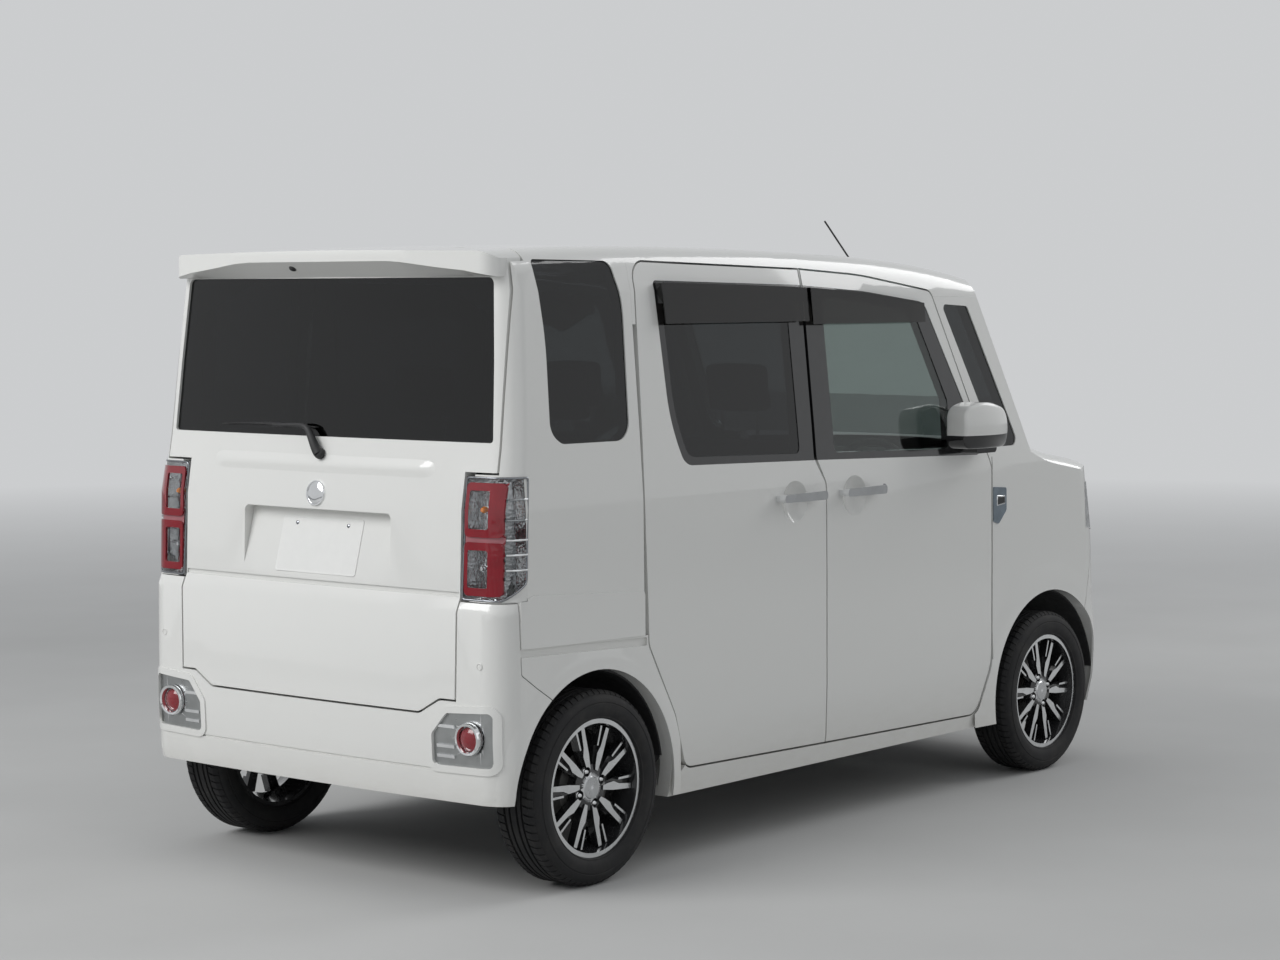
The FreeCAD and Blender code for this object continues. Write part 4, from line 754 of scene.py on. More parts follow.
def scaled(profile: Outline, radius: float) -> Outline:
    """A profile whose radii are given as shares of one radius."""
    return tuple((share * radius, along) for share, along in profile)


def joined(name: str, pieces: Sequence[bpy.types.Object]) -> bpy.types.Object:
    """Joins pieces into one object, each keeping its finish.

    Args:
        name: the joined object's name.
        pieces: the pieces.

    Returns:
        The joined object.
    """
    with bpy.context.temp_override(active_object=pieces[0], selected_editable_objects=list(pieces)):
        bpy.ops.object.join()
    pieces[0].name = name
    pieces[0].data.name = name
    return pieces[0]


class RingRepeat:
    """A geometry tree that repeats a piece round an axis along Y."""

    def __init__(self) -> None:
        """Builds the tree with named inputs for the count and the finish."""
        tree = bpy.data.node_groups.new("ring_repeat", "GeometryNodeTree")
        face = tree.interface
        face.new_socket("Piece", in_out="INPUT", socket_type="NodeSocketGeometry")
        count = face.new_socket("Count", in_out="INPUT", socket_type="NodeSocketInt")
        finish = face.new_socket("Finish", in_out="INPUT", socket_type="NodeSocketMaterial")
        face.new_socket("Ring", in_out="OUTPUT", socket_type="NodeSocketGeometry")
        self.tree = tree
        self.count_id = count.identifier
        self.finish_id = finish.identifier
        add = tree.nodes.new
        link = tree.links.new
        start, end = add("NodeGroupInput"), add("NodeGroupOutput")
        points, spread = add("GeometryNodePoints"), add("GeometryNodeInstanceOnPoints")
        index, share, turn = add("GeometryNodeInputIndex"), add("ShaderNodeMath"), add("ShaderNodeMath")
        share.operation = "DIVIDE"
        turn.operation = "MULTIPLY"
        turn.inputs[1].default_value = math.tau
        angles, rotation = add("ShaderNodeCombineXYZ"), add("FunctionNodeEulerToRotation")
        real, paint = add("GeometryNodeRealizeInstances"), add("GeometryNodeSetMaterial")
        link(start.outputs["Count"], points.inputs["Count"])
        link(points.outputs[0], spread.inputs["Points"])
        link(start.outputs["Piece"], spread.inputs["Instance"])
        link(index.outputs[0], share.inputs[0])
        link(start.outputs["Count"], share.inputs[1])
        link(share.outputs[0], turn.inputs[0])
        link(turn.outputs[0], angles.inputs["Y"])
        link(angles.outputs[0], rotation.inputs[0])
        link(rotation.outputs[0], spread.inputs["Rotation"])
        link(spread.outputs[0], real.inputs[0])
        link(real.outputs[0], paint.inputs["Geometry"])
        link(start.outputs["Finish"], paint.inputs["Material"])
        link(paint.outputs[0], end.inputs[0])

    def spread(self, obj: bpy.types.Object, count: int, finish: Finish) -> bpy.types.Object:
        """Repeats an object's mesh round Y and keeps the result as plain mesh.

        Args:
            obj: the object with one piece of the ring.
            count: pieces in the ring.
            finish: the ring's finish.

        Returns:
            The same object.
        """
        modifier = obj.modifiers.new("Ring", "NODES")
        modifier.node_group = self.tree
        modifier[self.count_id] = count
        modifier[self.finish_id] = finish.material()
        return applied(obj)


# Skins: merged copies of the solids, with their finishes


@dataclass(frozen=True)
class Zone:
    """Another finish on the faces of a skin that pass a test of their centre and normal."""

    finish: Finish
    test: FaceTest


def node_skin(
    node: str,
    finish: Finish,
    zones: Sequence[Zone] = (),
    cuts: Sequence[tuple[Point, Point]] = (),
    crease: float = 24,
) -> bpy.types.Object:
    """A merged, smoothly shaded copy of one solid that stands for it.

    Args:
        node: the solid's name.
        finish: its finish.
        zones: further finishes; the first that passes its test is taken.
        cuts: planes (point, normal) along which faces are split, so that a zone ends on a line.
        crease: the angle in degrees that stays sharp.

    Returns:
        The piece.
    """
    name = f"{node}_skin"
    mesh = FRAME["nodes"][node].data.copy()
    mesh.name = name
    work = bmesh.new()
    work.from_mesh(mesh)
    bmesh.ops.remove_doubles(work, verts=work.verts, dist=1e-5)
    for place, normal in cuts:
        geom = work.verts[:] + work.edges[:] + work.faces[:]
        bmesh.ops.bisect_plane(work, geom=geom, plane_co=place, plane_no=normal)
    work.to_mesh(mesh)
    work.free()
    smooth_by_angle(mesh, crease)
    mesh.materials.clear()
    mesh.materials.append(finish.material())
    for zone in zones:
        mesh.materials.append(zone.finish.material())
    for face in mesh.polygons:
        passed = (i for i, zone in enumerate(zones, 1) if zone.test(face.center, face.normal))
        face.material_index = next(passed, 0)
    obj = new_object(name, mesh)
    return carried(obj, node, stands_for=True)


def outward(normal: Vector, centre: Vector) -> bool:
    """True for a face that looks backwards or away from the car's middle plane."""
    return -normal.x > 0.3 or normal.y * math.copysign(1, centre.y) > 0.3


# The skin of the body, as the solids have it.

HALF_WIDTH = 0.7375
REAR_END = -1.6975
REAR_BOW = 12.0
NOSE_END = 1.6975
NOSE_BOW = 2.2
FLARE_ROOT = 0.7325
FLARE_LEAST = 0.002
SKIN_LEVELS = (
    # height, side tuck, rear tuck, nose tuck, rear corner, nose corner
    (0.180, 0.0240, 0.036, 0.040, 0.072, 0.150),
    (0.300, 0.0090, 0.007, 0.008, 0.088, 0.170),
    (0.460, 0.0050, 0.000, 0.000, 0.090, 0.180),
    (0.812, 0.0056, 0.005, 0.028, 0.086, 0.170),
    (0.852, 0.0060, 0.023, 0.037, 0.084, 0.167),
    (1.095, 0.0080, 0.031, 0.090, 0.080, 0.150),
    (1.270, 0.0200, 0.060, 0.300, 0.074, 0.150),
    (1.700, 0.0550, 0.100, 0.500, 0.066, 0.150),
    (1.900, 0.0730, 0.118, 0.640, 0.060, 0.150),
)


def skin_level(z: float, column: int) -> float:
    """A value of the skin's table at a height.

    Args:
        z: the height.
        column: the value's column, counted from 1 after the height.

    Returns:
        The value, taken evenly between two levels.
    """
    for low, high in zip(SKIN_LEVELS, SKIN_LEVELS[1:]):
        if z <= high[0]:
            share = max(0.0, (z - low[0]) / (high[0] - low[0]))
            return low[column] + share * (high[column] - low[column])
    return SKIN_LEVELS[-1][column]


def side_skin(z: float) -> float:
    """Half the body's width at a height."""
    return HALF_WIDTH - skin_level(z, 1)


def tail_skin(y: float, z: float) -> float:
    """Place along the car of the tail's skin."""
    return REAR_END + skin_level(z, 2) + REAR_BOW - math.sqrt(REAR_BOW**2 - y * y)


def tail_round(z: float, out: float, inner_y: float, front_x: float, steps: int = 10) -> list[Point]:
    """Points on the right rear corner's skin at one height, from the tail round to the side.

    Args:
        z: the height.
        out: how far the points stand off the skin.
        inner_y: where the line starts on the tail, as a distance from the middle.
        front_x: where it ends on the side.
        steps: steps round the corner.

    Returns:
        The points.
    """
    half = side_skin(z)
    corner = skin_level(z, 4)
    centre_y = half - corner
    centre_x = tail_skin(centre_y, z) + corner
    points = [(tail_skin(inner_y, z) - out, -inner_y, z)]
    for i in range(steps + 1):
        aim = math.pi / 2 * i / steps
        reach = corner + out
        points.append((centre_x - reach * math.cos(aim), -centre_y - reach * math.sin(aim), z))
    points.append((front_x, -half - out, z))
    return points


def wrapped(place: Vector) -> Vector | None:
    """Where a place on an arch flare lies once the flare is bent round the body's corner.

    Args:
        place: a place in a bumper's mesh.

    Returns:
        The place on the corner's skin, or None for one that isn't on a flare past the corner's start.
    """
    nose = place.x > 0
    corner = skin_level(place.z, 5 if nose else 4)
    across = side_skin(place.z) - corner
    bow = NOSE_BOW if nose else REAR_BOW
    end = NOSE_END - skin_level(place.z, 3) if nose else -REAR_END - skin_level(place.z, 2)
    start = end - bow + math.sqrt((bow - corner) ** 2 - across**2)
    past = abs(place.x) - start
    if past <= 0:
        return None
    skin = across + math.sqrt(max(0.0, corner**2 - past**2))
    if abs(place.y) < skin + FLARE_LEAST:
        return None
    most = math.pi / 2 - math.asin(across / (bow - corner))
    angle = min(past / corner, most)
    rest = past - corner * angle
    reach = corner + abs(place.y) - FLARE_ROOT
    along = start + reach * math.sin(angle) + rest * math.cos(angle)
    side = across + reach * math.cos(angle) - rest * math.sin(angle)
    return Vector((math.copysign(along, place.x), math.copysign(side, place.y), place.z))


def mirrored(points: Sequence[Point]) -> list[Point]:
    """The same points on the car's other side."""
    return [(x, -y, z) for x, y, z in points]


# Paths and loops


def rounded_square(
    half_wide: float, half_tall: float, radius: float, steps: int
) -> list[tuple[float, float]]:
    """A loop round a rectangle with round corners.

    Args:
        half_wide: half its width.
        half_tall: half its height.
        radius: the corners' radius.
        steps: steps in each corner.

    Returns:
        The loop's points.
    """
    loop = []
    for corner, (across, up) in enumerate(((1, 1), (-1, 1), (-1, -1), (1, -1))):
        for i in range(steps + 1):
            aim = math.pi / 2 * (corner + i / steps)
            a = across * (half_wide - radius) + radius * math.cos(aim)
            loop.append((a, up * (half_tall - radius) + radius * math.sin(aim)))
    return loop


def rounded_loop(points: Sequence[Vector], radius: float, least_turn: float = 40) -> list[Point]:
    """A closed loop whose sharp corners are rounded.

    Args:
        points: the loop.
        radius: how far from a corner its round starts.
        least_turn: the least turn in degrees that is rounded.

    Returns:
        The new loop.
    """
    made = []
    count = len(points)
    for i, here in enumerate(points):
        back = points[i - 1] - here
        ahead = points[(i + 1) % count] - here
        if math.degrees(back.angle(ahead)) > 180 - least_turn:
            made.append(tuple(here))
            continue
        start = here + back.normalized() * min(radius, back.length / 2)
        end = here + ahead.normalized() * min(radius, ahead.length / 2)
        for k in range(6):
            t = k / 5
            made.append(tuple(start * (1 - t) ** 2 + here * 2 * t * (1 - t) + end * t**2))
    return made


def smooth_path(points: Sequence[Point], steps: int) -> list[Point]:
    """A smooth line through points.

    Args:
        points: the points.
        steps: steps between two of them.

    Returns:
        The line's points.
    """
    line = [Vector(p) for p in points]
    ends = [line[0] * 2 - line[1], *line, line[-1] * 2 - line[-2]]
    made = []
    for a, b, c, d in zip(ends, ends[1:], ends[2:], ends[3:]):
        square = 2 * a - 5 * b + 4 * c - d
        cube = 3 * b - a - 3 * c + d
        for k in range(steps):
            t = k / steps
            made.append(tuple(0.5 * (2 * b + (c - a) * t + square * t**2 + cube * t**3)))
    return [*made, tuple(line[-1])]


def smooth_values(values: Sequence[float], steps: int) -> list[float]:
    """Values between given ones, as many as smooth_path gives points."""
    made = [a + (b - a) * k / steps for a, b in zip(values, values[1:]) for k in range(steps)]
    return [*made, values[-1]]


def ring_tube(points: Sequence[Point], radius: float, sides: int) -> bmesh.types.BMesh:
    """A round bar along a closed loop.

    Args:
        points: the loop.
        radius: the bar's radius.
        sides: corners of its section.

    Returns:
        The bmesh.
    """
    line = [Vector(p) for p in points]
    count = len(line)
    first = Vector((0, 0, 1))
    rings = []
    for i, point in enumerate(line):
        way = (line[(i + 1) % count] - line[i - 1]).normalized()
        if i == 0:
            first = way.orthogonal()
        first = (first - way * first.dot(way)).normalized()
        rings.append(circle(point, first, way.cross(first), radius, sides))
    last, start = rings[-1], rings[0]

    def twist(shift: int) -> float:
        """How far the last ring's corners lie from the first ring's, for a shift of the corners."""
        return sum((last[k] - start[(k + shift) % sides]).length for k in range(sides))

    shift = min(range(sides), key=twist)
    return lofted(rings, closed=True, shift=shift)


# Body panels


@dataclass
class Bodywork:
    """The painted shell with the raised forms of its tail, and the floor."""

    painted: tuple[str, ...] = (
        "roof", "quarter_panels", "pillars", "sills", "front_fenders", "bonnet", "front_bumper",
        "rear_bumper", "sliding_doors", "front_door_right", "front_door_left", "tailgate",
    )
    ridge_half: float = 0.47
    ridge_low: float = 1.168
    ridge_high: float = 1.236
    ridge_rise: float = 0.0045
    ridge_sunk: float = 0.0009
    ridge_steps: tuple[int, int] = (72, 18)
    ridge_end: float = 0.16
    disc_height: float = 1.118
    disc_radius: float = 0.037
    disc_normal: Point = (-1.0, 0.0, 0.16)
    disc_profile: Outline = (
        (0, 0.0075), (0.5, 0.0066), (0.84, 0.0042), (0.87, 0.0034), (0.9, 0.0052), (0.97, 0.0052),
        (1, 0.003), (1, -0.003), (0, -0.003),
    )
    sensor_place: tuple[float, float] = (0.649, 0.667)
    sensor_radius: float = 0.010
    sensor_turn: float = 0.055
    sensor_profile: Outline = (
        (0, 0.001), (0.72, 0.001), (0.76, -0.0002), (0.86, -0.0002), (0.9, 0.0016), (1, 0.0012),
        (1.02, -0.002), (0, -0.002),
    )
    flare_cuts: tuple[float, float, int] = (1.44, 1.68, 12)
    flare_inside: float = 0.7255

    def build(self) -> None:
        """Makes the painted panels and the dark parts between them."""
        for node in self.painted:
            if node.endswith("bumper"):
                self.add_bumper(node)
            else:
                node_skin(node, Finish.PAINT)
        node_skin("floor_pan", Finish.UNDERBODY)
        for node in ("wheel_liners", "cowl", "grilles", "antenna"):
            node_skin(node, Finish.MATT_BLACK)
        self.add_ridge()
        self.add_disc()
        self.add_sensors()

    def add_bumper(self, node: str) -> None:
        """Makes one bumper, with the ends of its arch flares bent round the corners.

        Args:
            node: the solid's name.
        """
        way = 1 if node.startswith("front") else -1
        start, end, count = self.flare_cuts
        places = (way * (start + (end - start) * i / count) for i in range(count + 1))
        cuts = [((x, 0.0, 0.0), (1.0, 0.0, 0.0)) for x in places]
        mesh = node_skin(node, Finish.PAINT, cuts=cuts).data
        for vertex in mesh.vertices:
            if abs(vertex.co.y) > self.flare_inside:
                bent = wrapped(vertex.co)
                if bent:
                    vertex.co = bent
        mesh.update()

    def add_ridge(self) -> None:
        """Raises the soft ridge that crosses the tailgate below its glass."""
        across, up = self.ridge_steps
        work = bmesh.new()
        sheets = []
        for deep in (0.0, self.ridge_sunk):
            rows = []
            for j in range(up + 1):
                share = j / up
                z = self.ridge_low + (self.ridge_high - self.ridge_low) * share
                row = []
                for i in range(across + 1):
                    y = self.ridge_half * (2 * i / across - 1)
                    ends = min(1.0, (1 - abs(y) / self.ridge_half) / self.ridge_end)
                    shape = math.sin(math.pi * share) ** 2 * math.sin(math.pi / 2 * ends) ** 2
                    rise = 0.0 if deep else (self.ridge_rise + self.ridge_sunk) * shape
                    x = tail_skin(y, z) + self.ridge_sunk + deep - rise
                    row.append(work.verts.new((x, y, z)))
                rows.append(row)
            sheets.append(rows)
            for a, b in zip(rows, rows[1:]):
                for i in range(across):
                    work.faces.new((a[i], b[i], b[i + 1], a[i + 1]))
        rims = [
            rows[0] + [r[-1] for r in rows[1:]] + rows[-1][-2::-1] + [r[0] for r in rows[-2:0:-1]]
            for rows in sheets
        ]
        for i in range(len(rims[0])):
            j = (i + 1) % len(rims[0])
            work.faces.new((rims[0][i], rims[0][j], rims[1][j], rims[1][i]))
        carried(from_bmesh("tailgate_ridge", work, Finish.PAINT), "tailgate")

    def add_disc(self) -> None:
        """Puts a bare domed disc into the middle of the tailgate."""
        centre = Vector((tail_skin(0, self.disc_height), 0, self.disc_height))
        work = turned(scaled(self.disc_profile, self.disc_radius), centre, Vector(self.disc_normal))
        carried(from_bmesh("tailgate_disc", work, Finish.CHROME), "tailgate")

    def add_sensors(self) -> None:
        """Puts the round parking sensors into the rear bumper's corners."""
        y, z = self.sensor_place
        profile = scaled(self.sensor_profile, self.sensor_radius)
        for side in Side:
            place = Vector((tail_skin(y, z), side.value * y, z))
            work = turned(profile, place, Vector((-1, side.value * self.sensor_turn, 0)), 28)
            carried(from_bmesh(f"parking_sensor_{side.word}", work, Finish.PAINT), "rear_bumper")


# Doors and windows


@dataclass
class Doors:
    """Window frames with their visors, panes, handles and folded mirrors."""

    visor_stand: float = 0.006
    mirror_x: float = 0.44
    mirror_split: float = 1.216
    mirror_outline: Outline = (
        (0.486, 1.19), (0.486, 1.298), (0.56, 1.312), (0.672, 1.288), (0.70, 1.222), (0.692, 1.19),
    )
    mirror_depths: tuple[float, float] = (0.7665, 0.7695)
    mirror_edge: float = 0.001
    lock_place: tuple[float, float] = (0.165, 1.06)
    lock_sunk: float = 0.001
    lock_profile: Outline = (
        (0, 0.0018), (0.007, 0.0018), (0.0078, 0.003), (0.0112, 0.003), (0.0125, 0.0008),
        (0.0125, -0.003), (0, -0.003),
    )
    pane_names: tuple[str, ...] = ("sliding_door_glass", "fixed_side_glass", "tailgate_glass")
    screen_names: tuple[str, ...] = ("windscreen", "front_door_glass_right", "front_door_glass_left")

    def build(self) -> None:
        """Makes the doors' fittings."""
        visor = Zone(Finish.SMOKED, self.on_visor)
        for node in ("sliding_door_frames", "front_door_frame_right", "front_door_frame_left"):
            node_skin(node, Finish.GLOSS_BLACK, [visor])
        for node in self.pane_names:
            node_skin(node, Finish.DARK_GLASS)
        for node in self.screen_names:
            node_skin(node, Finish.CLEAR_GLASS)
        node_skin("sliding_door_handles", Finish.CHROME)
        shell = [
            Zone(Finish.CHROME, lambda c, n: c.x < self.mirror_x),
            Zone(Finish.PAINT, lambda c, n: c.z > self.mirror_split),
        ]
        split = [((0, 0, self.mirror_split), (0, 0, 1))]
        for side in Side:
            node_skin(f"front_door_fittings_{side.word}", Finish.GLOSS_BLACK, shell, split)
            self.add_mirror_glass(side)
            self.add_lock(side)

    def on_visor(self, centre: Vector, normal: Vector) -> bool:
        """True for what of a window frame stands off the skin."""
        return abs(centre.y) > side_skin(centre.z) + self.visor_stand

    def add_mirror_glass(self, side: Side) -> None:
        """Puts the mirror's glass against its shell, on the side that faces the window.

        Args:
            side: the side of the car.
        """

        def place(a: float, b: float, level: float) -> Point:
            """A point of the glass's outline, at a distance from the middle."""
            return (a, side.value * level, b)

        work = prism_mesh(self.mirror_outline, *self.mirror_depths, place)
        glass = bevelled(from_bmesh(f"mirror_glass_{side.word}", work, Finish.CHROME), self.mirror_edge)
        carried(glass, f"front_door_fittings_{side.word}")

    def add_lock(self, side: Side) -> None:
        """Sets the lock's barrel into the front door, behind the handle.

        Args:
            side: the side of the car.
        """
        x, z = self.lock_place
        place = Vector((x, side.value * (side_skin(z) - self.lock_sunk), z))
        work = turned(self.lock_profile, place, Vector((0, side.value, 0)), 28)
        carried(from_bmesh(f"door_lock_{side.word}", work, Finish.DARK_CHROME), f"front_door_{side.word}")


# Lamps


@dataclass
class TailLamps:
    """Two stacked red frames round clear windows, a clear ribbed wrap and a dark surround."""

    frame_levels: tuple[tuple[float, float], ...] = ((0.860, 1.008), (1.022, 1.172))
    frame_sides: tuple[float, float] = (0.580, 0.704)
    window_sides: tuple[float, float] = (0.592, 0.662)
    window_edge: float = 0.022
    levels: tuple[float, float] = (0.848, 1.185)
    inner: float = 0.573
    front: float = -1.575
    band: float = 0.0032
    band_out: float = 0.0010
    band_round: float = 0.012
    cut_start: float = -1.642
    cut_slope: float = 0.70
    rib_levels: tuple[float, ...] = (0.932, 0.974, 1.015, 1.070, 1.126)
    rib_radius: float = 0.0034
    rib_out: float = 0.0012
    rib_from: float = 0.7065
    bulb_y: float = 0.626
    bulb_deep: float = 0.036
    bulbs: tuple[tuple[str, float, Finish], ...] = (
        ("turn", 1.096, Finish.AMBER_LENS),
        ("reverse", 0.934, Finish.CHROME),
    )
    bulb_profile: Outline = (
        (0, 0.024), (0.006, 0.0225), (0.0092, 0.017), (0.0095, 0.008), (0.0065, 0.0), (0, 0.0),
    )
    lens_deep: float = 0.012
    lens_turn_y: float = 0.66
    lens_turn_slope: float = 0.6
    slack: float = 0.0004

    def build(self) -> None:
        """Makes both lamps."""
        zones = [
            Zone(Finish.PAINT, lambda c, n: self.below_cut(c) and outward(n, c)),
            Zone(Finish.CLEAR_LENS, lambda c, n: self.in_window(c) and outward(n, c)),
            Zone(Finish.RED_LENS, lambda c, n: self.in_frame(c)),
            Zone(Finish.ROSE_LENS, lambda c, n: self.between(c) and outward(n, c)),
            Zone(Finish.SMOKED_LENS, lambda c, n: self.on_wrap(c) and outward(n, c)),
            Zone(Finish.CLEAR_LENS, lambda c, n: outward(n, c)),
        ]
        cut = ((self.cut_start, 0.0, self.levels[0]), (self.cut_slope, 0.0, -1.0))
        node_skin("tail_lamps", Finish.REFLECTOR, zones, [cut])
        for side in Side:
            self.add_surround(side)
            self.add_ribs(side)
            self.add_bulbs(side)

    def below_cut(self, centre: Vector) -> bool:
        """True for a place past the slanting cut of the lamp's lower outer corner."""
        return (centre.x - self.cut_start) * self.cut_slope > centre.z - self.levels[0]

    def add_ribs(self, side: Side) -> None:
        """Lays the bright ribs over the lamp's wrap.

        Args:
            side: the side of the car.
        """
        ribs = []
        for z in self.rib_levels:
            line = tail_round(z, self.rib_out, self.inner, self.front, 20)
            path = [point for point in line if abs(point[1]) > self.rib_from]
            path = mirrored(path) if side is Side.LEFT else path
            ribs.append(from_bmesh("rib", tube(path, [self.rib_radius] * len(path), 10), Finish.CHROME, 60))
        carried(joined(f"tail_lamp_ribs_{side.word}", ribs), "tail_lamps")

    def near_skin(self, centre: Vector) -> bool:
        """True for a place no deeper than the lens.

        Args:
            centre: a face's centre.

        Returns:
            Whether it is.
        """
        ay = abs(centre.y)
        deep = self.lens_deep + max(0.0, ay - self.lens_turn_y) * self.lens_turn_slope
        return centre.x < tail_skin(min(ay, self.lens_turn_y), centre.z) + deep

    def in_window(self, centre: Vector) -> bool:
        """True for a place in one of the clear windows.

        Args:
            centre: a face's centre.

        Returns:
            Whether it is.
        """
        near, far = self.window_sides
        edge = self.window_edge - self.slack
        inside = near - self.slack < abs(centre.y) < far + self.slack
        levels = any(low + edge < centre.z < high - edge for low, high in self.frame_levels)
        return inside and levels and self.near_skin(centre)

    def in_frame(self, centre: Vector) -> bool:
        """True for a place in one of the red frames.

        Args:
            centre: a face's centre.

        Returns:
            Whether it is.
        """
        near, far = self.frame_sides
        slack = self.slack
        inside = near - slack < abs(centre.y) < far + slack
        levels = any(low - slack < centre.z < high + slack for low, high in self.frame_levels)
        return inside and levels and self.near_skin(centre)

    def between(self, centre: Vector) -> bool:
        """True for the strip between the two frames."""
        low, high = self.frame_levels[0][1], self.frame_levels[1][0]
        return abs(centre.y) < self.frame_sides[1] and low - 0.001 < centre.z < high + 0.001

    def on_wrap(self, centre: Vector) -> bool:
        """True for a place on the ribbed wrap, outboard of the frames."""
        return abs(centre.y) > self.frame_sides[1] + 0.001

    def add_surround(self, side: Side) -> None:
        """Runs the dark bright band round the lamp's edge, along the slanting cut.

        Args:
            side: the side of the car.
        """
        low = self.levels[0]
        lower, upper = (tail_round(z, self.band_out, self.inner, self.front)[:-1] for z in self.levels)
        path = [Vector((x, y, low + max(0.0, x - self.cut_start) * self.cut_slope)) for x, y, _ in lower]
        path = rounded_loop(path + [Vector(point) for point in reversed(upper)], self.band_round)
        path = mirrored(path) if side is Side.LEFT else path
        work = ring_tube(path, self.band, 8)
        carried(from_bmesh(f"tail_lamp_band_{side.word}", work, Finish.DARK_CHROME, 60), "tail_lamps")

    def add_bulbs(self, side: Side) -> None:
        """Sets a bulb behind each clear window: amber above, clear below.

        Args:
            side: the side of the car.
        """
        for name, z, finish in self.bulbs:
            y = side.value * self.bulb_y
            place = Vector((tail_skin(y, z) + self.bulb_deep, y, z))
            work = turned(self.bulb_profile, place, Vector((-1, 0, 0)), 24)
            carried(from_bmesh(f"{name}_bulb_{side.word}", work, finish), "tail_lamps")


@dataclass
class RearReflectors:
    """Grey bezels with bright louvres, a bright ring and a round red reflector."""

    centre: tuple[float, float] = (0.611, 0.463)
    red_radius: float = 0.0346
    ring_radius: float = 0.0468
    blade_sides: tuple[float, float] = (0.4915, 0.5565)
    blade_levels: tuple[float, ...] = (0.404, 0.432, 0.488)
    blade_tall: float = 0.009
    blade_deep: float = 0.0055
    ring_deep: float = 0.022
    ring_sides: tuple[float, float] = (0.036, 0.047)
    ring_back: float = 0.010
    ring_stand: float = 0.0072
    ring_heavy_side: float = 0.6
    ring_steps: int = 48
    skin_end_y: float = 0.64
    slack: float = 0.0004

    def build(self) -> None:
        """Makes both bezels."""
        zones = [
            Zone(Finish.RED_LENS, lambda c, n: self.reach(c) < self.red_radius),
            Zone(Finish.CHROME, self.under_ring),
            Zone(Finish.CHROME, self.on_blade),
        ]
        node_skin("rear_reflectors", Finish.BEZEL, zones)
        for side in Side:
            self.add_ring(side)

    def reach(self, centre: Vector) -> float:
        """Distance from the reflector's middle, seen from behind."""
        return math.hypot(abs(centre.y) - self.centre[0], centre.z - self.centre[1])

    def shallow(self, centre: Vector, deep: float) -> bool:
        """True for a place within a depth of the bumper's skin."""
        return centre.x < tail_skin(min(abs(centre.y), self.skin_end_y), centre.z) + deep

    def under_ring(self, centre: Vector, normal: Vector) -> bool:
        """True for the bezel's faces under the bright ring."""
        return self.reach(centre) < self.ring_radius and self.shallow(centre, self.ring_deep)

    def on_blade(self, centre: Vector, normal: Vector) -> bool:
        """True for the louvres' faces.

        Args:
            centre: a face's centre.
            normal: its normal, not used.

        Returns:
            Whether it is one of them.
        """
        between = self.blade_sides[0] < abs(centre.y) < self.blade_sides[1]
        slack, tall = self.slack, self.blade_tall
        level = any(z - slack < centre.z < z + tall + slack for z in self.blade_levels)
        return between and level and self.shallow(centre, self.blade_deep)

    def ring_section(self, heavy: float) -> Outline:
        """The ring's section as (radius, place behind the skin), heavier on its outer side.

        Args:
            heavy: 0 on the ring's slender side, 1 on its heavy side.

        Returns:
            The section's corners.
        """
        inner, outer = self.ring_sides
        return (
            (inner, 0.004),
            (inner + 0.002, -0.001 - 0.003 * heavy),
            (outer - 0.004 + 0.002 * heavy, -0.002 - 0.004 * heavy),
            (outer + 0.002 * heavy, 0.004),
            (outer, self.ring_back),
            (inner, self.ring_back),
        )

    def add_ring(self, side: Side) -> None:
        """Lays the bright rounded ring round the reflector.

        Args:
            side: the side of the car.
        """
        y, z = self.centre
        x = REAR_END + self.ring_stand
        rings = []
        for k in range(self.ring_steps):
            aim = math.tau * k / self.ring_steps
            across, up = math.cos(aim), math.sin(aim)
            section = self.ring_section(0.5 + 0.5 * math.cos(aim - self.ring_heavy_side))
            rings.append([(x + out, side.value * (y + r * across), z + r * up) for r, out in section])
        work = lofted(rings, closed=True)
        carried(from_bmesh(f"reflector_ring_{side.word}", work, Finish.CHROME, 40), "rear_reflectors")


